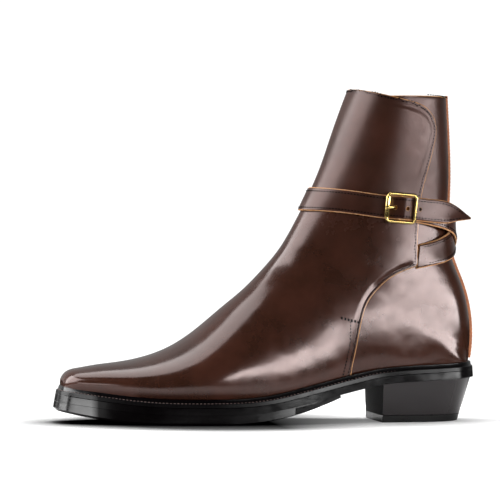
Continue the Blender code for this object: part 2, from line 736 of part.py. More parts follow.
def make_buckle(axes, brass):
    """Roller buckle: frame with its dropped centre bar, roller on the front bar, and prong."""
    frame = finished("buckle_frame", tube("buckle_frame", rounded_frame(axes), BUCKLE_WIRE, cyclic=True), brass)
    half = BUCKLE_HEIGHT / 2
    bar_lift = BUCKLE_LIFT - BAR_DROP
    staple = [
        (half, BUCKLE_LIFT),
        (half - 0.2, bar_lift + 0.5),
        (half - 0.9, bar_lift),
        (0.9 - half, bar_lift),
        (0.2 - half, bar_lift + 0.5),
        (-half, BUCKLE_LIFT),
    ]
    bar = tube("centre_bar", [in_frame(axes, 0.0, high, proud) for high, proud in staple], BAR_RADIUS)
    boolean(frame, cutter("centre_bar", bar), "UNION")

    front = -BUCKLE_LENGTH / 2
    ends = [in_frame(axes, front, high, BUCKLE_LIFT) for high in (-ROLLER_LENGTH / 2, ROLLER_LENGTH / 2)]
    longer = [in_frame(axes, front, high, BUCKLE_LIFT) for high in (-ROLLER_LENGTH, ROLLER_LENGTH)]
    roller = finished("buckle_roller", tube("buckle_roller", ends, ROLLER_OUTER, resolution=4), brass)
    bore = cutter("roller_bore", tube("roller_bore", longer, ROLLER_INNER, resolution=4))
    boolean(roller, bore, "DIFFERENCE")

    shank = [(-1.75, bar_lift + 0.1), (-3.8, 5.6), (-4.9, 6.9), (-6.6, 8.8), (-8.6, 9.8), (-10.6, 10.1), (-11.9, 9.9)]
    pin = tube("prong", [in_frame(axes, along, 0.0, proud) for along, proud in shank], PRONG_RADIUS)
    prong = finished("buckle_prong", pin, brass)
    eye = tube("prong_eye", prong_eye(axes), PRONG_EYE_WIRE, cyclic=True)
    boolean(prong, cutter("prong_eye", eye), "UNION")


def make_billet(tree, axes, leather):
    """The long strap: from under the flap round the back and the ankle, through the buckle to its tip."""
    billet = finished("billet_strap", strap_mesh("billet_strap", wrap_stations(tree, BILLET, BILLET_STATIONS)), leather)
    solidify(billet, STRAP_THICK, 1.0)
    for number, along in enumerate(HOLES):
        places = [in_frame(axes, along + shift, 0.0, proud) for shift, proud in ((0.0, 1.5), (0.0, 12.0))]
        punch = cutter(f"hole_{number}", tube(f"hole_{number}", places, HOLE_RADIUS))
        boolean(billet, punch, "DIFFERENCE")


def make_chape(tree, axes, leather):
    """The short strap: round the back from the inner side, over the centre bar and under itself."""
    stations = wrap_stations(tree, CHAPE, CHAPE_STATIONS)
    loop_radius = BAR_RADIUS + GAP
    bar_lift = BUCKLE_LIFT - BAR_DROP
    fold = [(5.6, 3.9), (2.6, bar_lift + loop_radius - 0.25)]
    for step in range(7):
        turn = math.radians(90 + 30 * step)
        fold.append((loop_radius * math.cos(turn), bar_lift + loop_radius * math.sin(turn)))
    fold += [(2.4, bar_lift - loop_radius)]
    for along, proud in fold:
        stations.append([in_frame(axes, along, high, proud) for high in np.linspace(-HALF, HALF, 3)])
    chape = finished("chape_strap", strap_mesh("chape_strap", stations), leather)
    solidify(chape, CHAPE_THICK, 1.0)
    eye_room = tube("prong_slot", prong_eye(axes), PRONG_EYE_WIRE + PRONG_EYE_ROOM, cyclic=True)
    boolean(chape, cutter("prong_slot", eye_room), "DIFFERENCE")


def main():
    for obj in list(bpy.data.objects):
        bpy.data.objects.remove(obj)
    for name in ("Jodhpur boot", "Cutters"):
        bpy.context.scene.collection.children.link(bpy.data.collections.new(name))
    bpy.data.collections["Cutters"].hide_render = True
    leather = material("Chocolate calf leather", (0.045, 0.017, 0.010), 0.3)
    strap_leather = material("Strap leather", (0.04, 0.015, 0.009), 0.35)
    lining = material("Lining leather", (0.55, 0.38, 0.22), 0.6)
    tan = material("Tan piping leather", (0.55, 0.16, 0.04), 0.5)
    black = material("Black sole leather", (0.004, 0.004, 0.004), 0.25)
    rubber = material("Black heel rubber", (0.006, 0.006, 0.006), 0.6)
    brass = material("Polished brass", (0.7, 0.48, 0.1), 0.2, metallic=1.0)
    make_upper(leather)
    make_front_panel(leather)
    make_sole(black)
    make_heel(black, rubber)
    make_insole(lining)
    make_piping(tan)
    tree = ankle_tree()
    axes = buckle_frame(tree)
    make_billet(tree, axes, strap_leather)
    make_chape(tree, axes, strap_leather)
    make_buckle(axes, brass)


main()
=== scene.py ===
"""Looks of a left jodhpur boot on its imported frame: leather, stitching, sole, strap and buckle.

It is laid out as a Blender add-on and run as a script. Sizes in the tables are millimetres in the
last's own frame: the toe points along -X and the buckle's side faces -Y. built() gives world metres.
"""

import math
from collections import namedtuple

import bmesh
import bpy
import numpy as np
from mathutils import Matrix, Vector
from mathutils.bvhtree import BVHTree
from mathutils.kdtree import KDTree


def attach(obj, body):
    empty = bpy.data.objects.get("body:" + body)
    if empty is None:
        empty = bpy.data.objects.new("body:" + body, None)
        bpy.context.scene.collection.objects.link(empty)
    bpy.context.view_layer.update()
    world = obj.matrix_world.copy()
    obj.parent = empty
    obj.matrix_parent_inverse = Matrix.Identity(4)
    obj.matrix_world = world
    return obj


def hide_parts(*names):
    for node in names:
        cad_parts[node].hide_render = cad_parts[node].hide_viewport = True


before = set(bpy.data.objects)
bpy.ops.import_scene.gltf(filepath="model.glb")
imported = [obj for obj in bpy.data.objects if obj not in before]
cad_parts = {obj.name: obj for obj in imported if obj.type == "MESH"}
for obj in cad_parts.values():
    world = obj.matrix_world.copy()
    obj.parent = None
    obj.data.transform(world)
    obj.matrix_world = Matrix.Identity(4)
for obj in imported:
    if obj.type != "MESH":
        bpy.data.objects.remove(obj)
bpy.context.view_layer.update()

bl_info = {
    "name": "Jodhpur boot",
    "version": (1, 0, 0),
    "blender": (4, 5, 0),
    "location": "View3D > Sidebar > Boot",
    "description": "Builds the leather, stitching, sole, straps and buckle of a left jodhpur boot",
    "category": "Object",
}

MM = 0.001
GAP = 0.3
ORIGIN = np.array((1.9, -0.9, 0.0))

# Upper
WALL = 2.0
PANEL = 1.4
PANEL_TOP = GAP + PANEL
PANEL_FOOT = 0.7
PIPING_PROUD = 1.6
PIPING_WIDTH = 2.2

# Sole
WELT_THICK = 3.0
MIDSOLE_THICK = 4.7
WELT_REACH = 4.9
SEAT_REACH = 3.8
WELT_ENDS_AT = 90.0
LIP_HEIGHT = 3.0
EDGE_BEVEL = 1.2
FLAT_FROM, FLAT_TO = -74.0, -34.0
TOE_END, TOE_SPRING, TOE_POWER = -147.0, 9.6, 1.75
SKIVE_END, SKIVE_RISE, SKIVE_POWER = 46.0, 18.3, 1.85
EDGE_LEAN = 1.4
INSOLE_THICK = 2.6

# Heel
BREAST_X = 79.8
HEEL_BACK_X = 149.0
HEEL_TOP_Z = 29.5
HEEL_UNDERCUT = 9.0
HEEL_NARROWING = 0.14
TOP_PIECE = 5.0

# Straps and buckle
STRAP_WIDTH = 16.4
STRAP_THICK = 1.7
CHAPE_THICK = 1.3
HOLES = (-4.5, 4.0, 13.9)
ANKLE_X = 80.0
ANKLE_RADIUS = 45.0
BUCKLE_LENGTH, BUCKLE_HEIGHT = 20.2, 19.4
BUCKLE_WIRE = 1.05
BUCKLE_CORNER = 2.6
BUCKLE_ANGLE, BUCKLE_Z, BUCKLE_LIFT = -72.3, 150.9, 7.2
BUCKLE_TILT = 5.0
BAR_RADIUS = 0.9
BAR_DROP = 2.75
ROLLER_OUTER, ROLLER_LENGTH = 1.75, 15.0
PRONG_RADIUS = 0.9
PRONG_EYE_WIRE = 0.6
WIRE_PLATING = 0.12
PRONG_SWELL = 0.2

# One row for each section of the last, from the toe's edge to just above the collar. A section runs
# from the feather edge (or the back seam) over the ridge, and its plane fans round the instep.
Section = namedtuple(
    "Section",
    "ridge_x ridge_y ridge_z lat_x med_x rise lat_y med_y lat_wide med_wide widest top_round heel_round",
)
LAST = [
    Section(-141.0, 6.0, 23.8, -140.5, -140.5, 0.6, -5.0, 17.0, -5.3, 17.3, 0.40, 2.30, 1.00),
    Section(-141.4, 6.0, 29.4, -139.0, -139.0, 0.6, -9.5, 21.5, -10.3, 22.3, 0.40, 2.30, 1.00),
    Section(-140.0, 6.0, 32.8, -135.3, -135.3, 0.6, -13.0, 25.0, -14.2, 26.2, 0.40, 2.30, 1.00),
    Section(-136.3, 6.0, 35.5, -129.0, -129.0, 0.6, -16.8, 28.5, -18.3, 30.0, 0.40, 2.30, 1.00),
    Section(-128.5, 6.0, 37.1, -119.8, -120.3, 0.6, -21.4, 32.0, -23.0, 33.6, 0.39, 2.25, 1.00),
    Section(-116.3, 6.0, 39.1, -107.0, -108.3, 0.6, -27.2, 36.0, -29.0, 37.8, 0.38, 2.20, 1.00),
    Section(-101.0, 5.8, 41.0, -92.0, -94.0, 0.6, -33.6, 40.2, -35.6, 42.1, 0.36, 2.15, 1.00),
    Section(-83.7, 5.4, 44.6, -75.5, -78.5, 0.6, -40.0, 43.9, -42.2, 46.0, 0.34, 2.10, 1.00),
    Section(-65.2, 5.0, 51.7, -57.5, -61.5, 0.6, -45.0, 45.6, -47.3, 47.8, 0.32, 2.05, 1.00),
    Section(-46.9, 4.5, 63.7, -37.5, -42.5, 0.6, -47.4, 44.6, -49.7, 46.8, 0.30, 2.00, 1.00),
    Section(-29.4, 3.9, 78.4, -15.0, -21.5, 0.6, -45.8, 40.6, -48.1, 43.2, 0.30, 2.00, 1.00),
    Section(-13.8, 3.2, 91.4, 9.5, 2.0, 0.6, -41.0, 35.4, -43.6, 39.2, 0.30, 2.05, 1.00),
    Section(-2.0, 2.3, 103.2, 37.0, 30.5, 0.6, -35.0, 31.2, -38.2, 36.0, 0.30, 2.15, 1.00),
    Section(5.9, 1.3, 112.0, 67.0, 63.0, 0.6, -31.6, 29.8, -35.2, 34.2, 0.31, 2.25, 1.10),
    Section(11.2, 0.5, 118.6, 96.0, 94.5, 0.6, -32.0, 31.4, -34.8, 34.2, 0.32, 2.35, 1.35),
    Section(15.0, 0.0, 124.0, 121.0, 120.5, 0.6, -30.0, 29.8, -34.6, 34.2, 0.34, 2.40, 1.70),
    Section(18.2, 0.0, 129.2, 136.8, 136.8, 0.6, -21.6, 21.6, -34.3, 34.0, 0.36, 2.40, 2.00),
    Section(21.2, 0.0, 134.4, 144.6, 144.6, 0.9, -10.4, 10.4, -34.0, 33.8, 0.38, 2.40, 2.15),
    Section(24.0, 0.0, 139.6, 147.3, 147.3, 5.5, 0.0, 0.0, -33.8, 33.6, 0.40, 2.38, 2.20),
    Section(26.8, 0.0, 144.9, 148.7, 148.7, 17.5, 0.0, 0.0, -33.6, 33.4, 0.42, 2.35, 2.20),
    Section(29.7, 0.0, 150.5, 148.0, 148.0, 36.0, 0.0, 0.0, -33.4, 33.2, 0.44, 2.30, 2.15),
    Section(33.2, 0.0, 157.8, 142.9, 142.9, 57.5, 0.0, 0.0, -33.5, 33.3, 0.46, 2.25, 2.10),
    Section(37.9, 0.0, 167.8, 134.9, 134.9, 79.0, 0.0, 0.0, -34.0, 33.8, 0.48, 2.20, 2.10),
    Section(43.8, 0.0, 182.2, 132.0, 132.0, 103.0, 0.0, 0.0, -35.0, 34.8, 0.50, 2.15, 2.10),
    Section(50.0, 0.0, 200.2, 132.9, 132.9, 131.0, 0.0, 0.0, -36.2, 36.0, 0.50, 2.10, 2.10),
    Section(56.4, 0.0, 217.9, 132.3, 132.3, 161.5, 0.0, 0.0, -37.3, 37.1, 0.50, 2.10, 2.10),
    Section(62.6, 0.0, 233.6, 130.8, 130.8, 193.1, 0.0, 0.0, -38.0, 38.0, 0.50, 2.10, 2.10),
    Section(69.4, 0.0, 249.5, 129.8, 129.8, 216.0, 0.0, 0.0, -38.4, 38.4, 0.50, 2.10, 2.10),
]
BACK_CLOSES = 18
COLLAR = 26
RIDGE_SHARE = 0.62
SIDE_CURVE = 2.2

# Height of the welt's upper face along the boot, as (x, z).
WELT_LINE = [
    (-147.0, 23.4),
    (-133.0, 21.5),
    (-115.0, 19.0),
    (-95.0, 16.6),
    (-72.0, 15.2),
    (-45.0, 15.0),
    (-22.0, 15.4),
    (-4.0, 17.0),
    (14.0, 20.3),
    (34.0, 25.0),
    (56.0, 30.3),
    (77.0, 34.7),
    (92.0, 36.4),
    (120.0, 37.8),
    (152.0, 39.2),
]

# Side outline of the front panel and its flap behind the toe, as (x, z), feather edge to collar front.
PANEL_EDGE = [
    (56.5, 31.2),
    (57.2, 38.0),
    (59.4, 49.0),
    (62.0, 62.5),
    (64.4, 73.5),
    (68.4, 84.5),
    (75.4, 93.6),
    (84.0, 101.2),
    (94.0, 106.4),
    (104.3, 109.8),
    (104.3, 128.0),
    (105.0, 140.0),
    (107.2, 160.0),
    (112.6, 179.6),
    (117.2, 196.5),
    (118.6, 205.0),
    (117.4, 212.0),
    (113.6, 218.2),
    (107.0, 223.0),
    (98.0, 225.9),
    (84.0, 229.4),
    (71.0, 232.7),
    (60.0, 235.4),
    (44.0, 239.0),
]

# The straps' centre lines round the ankle: angle from the back (lateral negative), height, clear
# height above the upper, and half widths above and below the line.
Wrap = namedtuple("Wrap", "angle z lift up down")
HALF = STRAP_WIDTH / 2
BILLET = [
    Wrap(-50.5, 117.2, 0.5, HALF, HALF),
    Wrap(-38.0, 119.6, 1.0, HALF, HALF),
    Wrap(-24.0, 123.4, 1.9, HALF, HALF),
    Wrap(-10.0, 128.6, 2.6, HALF, HALF),
    Wrap(4.0, 133.6, 2.6, HALF, HALF),
    Wrap(18.0, 138.4, 2.4, HALF, HALF),
    Wrap(34.0, 142.8, 2.3, HALF, HALF),
    Wrap(55.0, 146.6, 2.3, HALF, HALF),
    Wrap(80.0, 150.2, 2.2, HALF, HALF),
    Wrap(105.0, 153.0, 2.2, HALF, HALF),
    Wrap(130.0, 155.2, 2.2, HALF, HALF),
    Wrap(152.0, 156.6, 2.2, HALF, HALF),
    Wrap(170.0, 157.3, 2.2, HALF, HALF),
    Wrap(188.0, 157.3, 2.2, HALF, HALF),
    Wrap(206.0, 156.7, 2.2, HALF, HALF),
    Wrap(226.0, 155.4, 2.2, HALF, HALF),
    Wrap(246.0, 153.6, 2.3, HALF, HALF),
    Wrap(262.0, 152.1, 2.3, HALF, HALF),
    Wrap(272.0, 151.4, 2.7, HALF, HALF),
    Wrap(280.0, 150.9, 5.3, HALF, HALF),
    Wrap(287.6, 150.4, 7.7, HALF, HALF),
    Wrap(295.0, 149.9, 5.3, HALF, HALF),
    Wrap(303.5, 149.5, 3.7, HALF, HALF),
    Wrap(312.0, 148.7, 5.2, HALF, HALF),
    Wrap(320.0, 147.8, 8.4, HALF - 0.2, HALF - 0.1),
    Wrap(326.0, 146.7, 12.0, HALF - 2.4, HALF - 1.4),
    Wrap(330.5, 145.0, 15.4, 3.4, 3.8),
    Wrap(334.4, 143.4, 18.8, 0.7, 0.9),
]
CHAPE = [
    Wrap(50.5, 117.2, 0.5, HALF, HALF),
    Wrap(40.0, 119.2, 1.2, HALF, HALF),
    Wrap(31.0, 121.6, 3.4, HALF, HALF),
    Wrap(20.0, 125.0, 4.8, HALF, HALF),
    Wrap(8.0, 130.0, 5.0, HALF, HALF),
    Wrap(-4.0, 135.4, 5.0, HALF, HALF),
    Wrap(-16.0, 140.4, 4.7, HALF, HALF),
    Wrap(-28.0, 143.9, 3.4, HALF, HALF),
    Wrap(-40.0, 146.2, 2.2, HALF, HALF),
    Wrap(-52.0, 147.9, 2.1, HALF, HALF),
    Wrap(-62.0, 149.2, 2.2, HALF, HALF),
]


def natural_spline(knots, values):
    """A function that reads a natural cubic curve through the values at the knots."""
    knots = np.asarray(knots, float)
    values = np.asarray(values, float)
    steps = np.diff(knots)
    count = len(knots)
    system = np.eye(count)
    bend = np.zeros(count)
    for i in range(1, count - 1):
        system[i, i - 1 : i + 2] = steps[i - 1], 2 * (steps[i - 1] + steps[i]), steps[i]
        slope_after = (values[i + 1] - values[i]) / steps[i]
        slope_before = (values[i] - values[i - 1]) / steps[i - 1]
        bend[i] = 6 * (slope_after - slope_before)
    curve = np.linalg.solve(system, bend)

    def read(at):
        at = np.asarray(at, float)
        i = np.clip(np.searchsorted(knots, at) - 1, 0, count - 2)
        width = steps[i]
        after = (at - knots[i]) / width
        before = 1 - after
        swell = (before**3 - before) * curve[i] + (after**3 - after) * curve[i + 1]
        return before * values[i] + after * values[i + 1] + swell * width**2 / 6

    return read


ROWS = np.array(LAST)
SPLINES = {}
for column_index, column_name in enumerate(Section._fields):
    last_row = BACK_CLOSES if column_name in ("lat_y", "med_y") else len(ROWS) - 1
    SPLINES[column_name] = natural_spline(np.arange(last_row + 1), ROWS[: last_row + 1, column_index])
welt_line = natural_spline(*zip(*WELT_LINE))


def column(name, t):
    if name in ("lat_y", "med_y"):
        return np.where(t < BACK_CLOSES, SPLINES[name](np.minimum(t, BACK_CLOSES)), 0.0)
    if name == "med_x":
        return np.where(t < BACK_CLOSES, SPLINES[name](t), SPLINES["lat_x"](t))
    return SPLINES[name](t)


def last_point(t, s):
    """Points of the upper's outer face: t counts sections, s runs -1 lateral, 0 ridge, 1 medial."""
    t, s = np.broadcast_arrays(np.asarray(t, float), np.asarray(s, float))
    lateral = s < 0
    reach = np.abs(s)
    middle = column("ridge_y", t)
    base_x = np.where(lateral, column("lat_x", t), column("med_x", t))
    base_z = welt_line(base_x) + column("rise", t)
    base_width = np.where(lateral, middle - column("lat_y", t), column("med_y", t) - middle)
    base_width = np.maximum(base_width, 0.0)
    full_width = np.where(lateral, middle - column("lat_wide", t), column("med_wide", t) - middle)
    widest = column("widest", t)
    up = np.clip(1 - reach / RIDGE_SHARE, 0, 1) * math.pi / 2
    down = np.clip((reach - RIDGE_SHARE) / (1 - RIDGE_SHARE), 0, 1) * math.pi / 2
    top_power = 2 / column("top_round", t)
    heel_power = 2 / np.maximum(column("heel_round", t), 1.0)
    above = widest + (1 - widest) * np.sin(up) ** top_power
    below = widest * (1 - np.sin(down) ** (2 / SIDE_CURVE))
    width_above = full_width * np.maximum(np.cos(up), 0) ** top_power
    width_below = base_width + (full_width - base_width) * np.maximum(np.cos(down), 0) ** heel_power
    on_top = reach <= RIDGE_SHARE
    q = np.where(on_top, above, below)
    width = np.where(on_top, width_above, width_below)
    x = base_x + (column("ridge_x", t) - base_x) * q
    z = base_z + (column("ridge_z", t) - base_z) * q
    y = middle + np.where(lateral, -width, width)
    return np.stack([x, y, z], axis=-1)


def last_surface(t, s, lift=0.0):
    """The same points moved outwards by lift along the surface's normal."""
    t, s = np.broadcast_arrays(np.asarray(t, float), np.asarray(s, float))
    step_t, step_s = 0.02, 0.004
    along = last_point(t + step_t, s) - last_point(t - step_t, s)
    across = last_point(t, np.minimum(s + step_s, 1)) - last_point(t, np.maximum(s - step_s, -1))
    normal = np.cross(along, across)
    on_seam = (np.abs(s) == 1) & (t >= BACK_CLOSES)
    normal[..., 1] = np.where(on_seam, 0, normal[..., 1])
    length = np.linalg.norm(normal, axis=-1, keepdims=True)
    lift = np.broadcast_to(lift, t.shape)[..., None]
    return last_point(t, s) + lift * normal / np.maximum(length, 1e-9)


def built(points):
    """Table millimetres to world metres."""
    return (np.asarray(points, float) - ORIGIN) * MM

# Looks only: stitch lines, creases, prong, camera and lights.
COLLAR_LINE = [(40.0, 239.6), (60.0, 235.0), (71.0, 232.3), (82.0, 229.5), (150.0, 229.5)]
HEEL_EVENING = 160
HEEL_TUCK = 1.1
FOOT_ROOM, HEEL_ROOM = 1.7, 0.8
# The wall's rim is turned-under leather below this height, and a cut edge above it
FOOT_RIM_BELOW = 60
COLLAR_SHARES = (0.2, 0.4, 0.55, 0.68, 0.78, 0.85, 0.9, 0.93, 0.955, 0.975, 0.99, 1.0)
SEAM_ROWS = 9
PANEL_STITCH_IN = 2.1
COLLAR_STITCH_IN = 2.1
STRAP_STITCH_IN = 2.4
PUNCHED_HOLE = 1.45

# Stitch row in front of the vamp seam, from the bar tack to the welt, and the tack, as (x, z).
SECOND_ROW = [(56.0, 70.6), (55.9, 64.0), (55.6, 57.5), (54.4, 50.4), (52.9, 43.0), (50.2, 32.0)]
TACK_BAR = [(49.8, 73.6), (55.8, 72.0), (61.4, 70.6)]

Crease = namedtuple("Crease", "side x0 z0 x1 z1 x2 z2 height width")
CREASES = [
    Crease(-1, 30.0, 118.0, 44.0, 104.0, 60.0, 96.0, -0.35, 4.0),
    Crease(-1, 38.0, 128.0, 56.0, 116.0, 78.0, 112.0, 0.3, 4.5),
    Crease(-1, -20.0, 74.0, -4.0, 58.0, 14.0, 50.0, 0.25, 6.0),
    Crease(1, 30.0, 118.0, 44.0, 104.0, 60.0, 96.0, -0.35, 4.0),
    Crease(1, -20.0, 74.0, -4.0, 58.0, 14.0, 50.0, 0.25, 6.0),
]

# The prong's middle line, as (along, lift) in the buckle's axes, from its eye to its tip.
PRONG_LINE = [(-1.75, 4.55), (-3.8, 5.6), (-4.9, 6.9), (-6.6, 8.8), (-8.6, 9.8), (-10.6, 10.1), (-11.9, 9.9)]

# How strongly the black sole edge shines at the toe, along the ball and at the waist, and where it changes.
# It stands in for light and shade: low along the ball as painted shade, high at the toe as a painted
# reflection.
ShineShade = namedtuple("ShineShade", "toe_from toe_to waist_from waist_to toe ball waist")
SOLE_SHINE_SHADE = ShineShade(-0.127, -0.122, -0.02, 0.05, 1.0, 0.1, 0.5)
WELT_SHINE_SHADE = ShineShade(-0.127, -0.122, -0.02, 0.05, 0.7, 0.1, 0.3)

CAMERA_TURN = 9.0
CAMERA_PIVOT_X = -9.6
CAMERA_DISTANCE = 2250.0
CAMERA_HEIGHT = 131.0

Softbox = namedtuple("Softbox", "name spot aim size radiance")
ROOM_LIGHT = 0.05
BACK_LIGHT = 0.3
SOFTBOXES = [
    Softbox("top box", (-200.0, 600.0, 1700.0), (0.0, 0.0, 0.0), (1800.0, 1300.0), 3.0),
    Softbox("toe side box", (-1330.0, 200.0, 760.0), (-40.0, 0.0, 80.0), (1700.0, 1150.0), 5.2),
    Softbox("heel side box", (1075.0, -964.0, 180.0), (60.0, 0.0, 180.0), (2120.0, 250.0), 12.0),
    Softbox("toe card", (-330.0, -190.0, 30.0), (-140.0, -25.0, 14.0), (120.0, 50.0), 3.4),
]


def grid_faces(rows, columns):
    faces = []
    for i in range(rows - 1):
        for j in range(columns - 1):
            a = i * columns + j
            faces.append((a, a + 1, a + columns + 1, a + columns))
    return faces


def evenly(points, spacing):
    """Points along a line at even spacing, in millimetres."""
    points = np.asarray(points, float)
    steps = np.linalg.norm(np.diff(points, axis=0), axis=1)
    points = points[np.concatenate([[True], steps > 1e-6])]
    travelled = np.concatenate([[0.0], np.cumsum(np.linalg.norm(np.diff(points, axis=0), axis=1))])
    at = np.linspace(0, travelled[-1], max(int(travelled[-1] / spacing), 2) + 1)
    return np.stack([np.interp(at, travelled, points[:, k]) for k in range(points.shape[1])], axis=-1)


def smooth_line(points, spacing):
    """A smooth curve through the points of a table, with points at even spacing."""
    points = np.asarray(points, float)
    travelled = np.concatenate([[0.0], np.cumsum(np.linalg.norm(np.diff(points, axis=0), axis=1))])
    at = np.linspace(0, travelled[-1], int(travelled[-1] / spacing) + 1)
    return np.stack([natural_spline(travelled, points[:, k])(at) for k in range(points.shape[1])], axis=-1)


def distance_to(line, points):
    """The distance from each point to a line given by close points."""
    tree = KDTree(len(line))
    for number, place in enumerate(line):
        tree.insert(place, number)
    tree.balance()
    flat = np.asarray(points, float).reshape(-1, 3)
    return np.array([tree.find(place)[2] for place in flat]).reshape(np.shape(points)[:-1])


def swell(distance, middle, width):
    """A soft bump across a line, 1 at its middle."""
    return np.exp(-(((distance - middle) / width) ** 2))


def ramp(value, start, end):
    share = np.clip((value - start) / (end - start), 0, 1)
    return share * share * (3 - 2 * share)


# Meshes


def boundary(rows, columns):
    """The border of a grid of points, in order."""
    top = list(range(columns))
    right = [i * columns + columns - 1 for i in range(1, rows)]
    bottom = [(rows - 1) * columns + j for j in range(columns - 2, -1, -1)]
    left = [i * columns for i in range(rows - 2, 0, -1)]
    return top + right + bottom + left


def tidy_mesh(name, points, faces, slots, marks, sharp_angle):
    """A mesh with its doubles merged, faces outwards, material slots and named point attributes."""
    mesh = bpy.data.meshes.new(name)
    mesh.from_pydata(built(points).tolist(), [], faces)
    mesh.polygons.foreach_set("material_index", np.asarray(slots, np.int32))
    for mark, values in marks.items():
        layer = mesh.attributes.new(mark, "FLOAT", "POINT")
        layer.data.foreach_set("value", np.asarray(values, np.float32))
    bm = bmesh.new()
    bm.from_mesh(mesh)
    bmesh.ops.remove_doubles(bm, verts=bm.verts, dist=2e-6)
    bmesh.ops.dissolve_degenerate(bm, edges=bm.edges, dist=1e-6)
    bmesh.ops.recalc_face_normals(bm, faces=bm.faces)
    if bm.calc_volume(signed=True) < 0:
        bmesh.ops.reverse_faces(bm, faces=bm.faces)
    bm.to_mesh(mesh)
    bm.free()
    mesh.shade_smooth()
    mesh.set_sharp_from_angle(angle=math.radians(sharp_angle))
    return mesh


def shell_mesh(name, outer, inner, rim_slot=1, inner_slot=1, marks=None, open_rim=None, sharp_angle=50):
    """A wall between two grids of points. open_rim says which border points have no rim between them."""
    rows, columns = outer.shape[:2]
    size = rows * columns
    points = np.concatenate([outer.reshape(-1, 3), inner.reshape(-1, 3)])
    quads = grid_faces(rows, columns)
    faces = quads + [tuple(size + corner for corner in reversed(quad)) for quad in quads]
    slots = [0] * len(quads) + [inner_slot] * len(quads)
    border = boundary(rows, columns)
    for a, b in zip(border, border[1:] + border[:1]):
        if open_rim is not None and open_rim[a] and open_rim[b]:
            continue
        faces.append((a, a + size, b + size, b))
        slots.append(rim_slot)
    doubled = {mark: np.concatenate([np.ravel(values)] * 2) for mark, values in (marks or {}).items()}
    return tidy_mesh(name, points, faces, slots, doubled, sharp_angle)


def loft_mesh(name, rings, slots=None, closed_ends=True, cyclic=False, marks=None, sharp_angle=38):
    """A skin through rings of equal counts. slots gives the material slot of each side of a ring."""
    rings = np.asarray(rings, float)
    count, size = rings.shape[:2]
    faces, face_slots = [], []
    for i in range(count if cyclic else count - 1):
        after = (i + 1) % count
        for j in range(size):
            beside = (j + 1) % size
            faces.append((i * size + j, i * size + beside, after * size + beside, after * size + j))
            face_slots.append(slots[j] if slots else 0)
    if closed_ends and not cyclic:
        faces.append(tuple(range(size)))
        faces.append(tuple(range((count - 1) * size, count * size)))
        face_slots += [face_slots[0], face_slots[0]]
    return tidy_mesh(name, rings.reshape(-1, 3), faces, face_slots, marks or {}, sharp_angle)


def place(name, mesh, materials, node=None, slot=None):
    """Puts a finished mesh in the scene, on the boot's one body."""
    for material in materials:
        mesh.materials.append(material)
    piece = bpy.data.objects.new(name, mesh)
    bpy.context.scene.collection.objects.link(piece)
    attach(piece, "root")
    if node:
        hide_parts(node)
    return piece


# Leather pieces


def panel_outline():
    """Closed side outline of the front panel: its foot, the vamp seam, the flap and its top."""
    foot = [(x, float(welt_line(x)) + PANEL_FOOT) for x in range(-170, 50, 4)]
    seam = smooth_line(PANEL_EDGE[: SEAM_ROWS + 1], 0.5)
    flap = smooth_line(PANEL_EDGE[SEAM_ROWS:], 0.5)
    return np.concatenate([foot, seam, flap[1:], [(-170.0, 245.0)]])


def inside_outline(outline, x, z):
    """Which of the points lie inside a closed outline."""
    inside = np.zeros(np.shape(x), bool)
    for (x0, z0), (x1, z1) in zip(outline, np.roll(outline, -1, axis=0)):
        if z0 == z1:
            continue
        crosses = (z0 > z) != (z1 > z)
        inside ^= crosses & (x < x0 + (z - z0) * (x1 - x0) / (z1 - z0))
    return inside


def panel_reach(t, side, outline):
    """Where each section leaves the panel on this side, as a share of the way to the feather edge."""
    tries = np.linspace(0, 1, 161)
    spots = last_surface(t[:, None], side * tries[None, :], PANEL_TOP)
    within = inside_outline(outline, spots[..., 0], spots[..., 2])
    outside = ~within
    first = np.where(outside.any(axis=1), outside.argmax(axis=1), len(tries) - 1)
    high = tries[first]
    low = tries[np.maximum(first - 1, 0)]
    for _ in range(14):
        middle = (low + high) / 2
        spots = last_surface(t, side * middle, PANEL_TOP)
        within = inside_outline(outline, spots[:, 0], spots[:, 2])
        low = np.where(within, middle, low)
        high = np.where(within, high, middle)
    return np.where(outside.any(axis=1), low, 1.0)


def spread_columns(t, reach, side, from_edge, middle_count):
    """Shares of each section, close together near the panel's edge and even in between."""
    tries = np.linspace(0, 1, 120)
    shares = np.empty((len(t), len(from_edge) + middle_count))
    for row, (section, end) in enumerate(zip(t, reach)):
        spots = last_point(section, side * tries * end)
        travelled = np.concatenate([[0.0], np.cumsum(np.linalg.norm(np.diff(spots, axis=0), axis=1))])
        length = travelled[-1]
        border = np.minimum(np.array(from_edge), 0.45 * length * np.arange(len(from_edge)) / len(from_edge))
        border = np.minimum(np.array(from_edge), np.maximum(border, 0))
        even = np.linspace(0, length - border[-1], middle_count + 1)[:-1]
        at = np.concatenate([even, (length - border)[::-1]])
        shares[row] = np.interp(at, travelled, tries * end)
    return shares


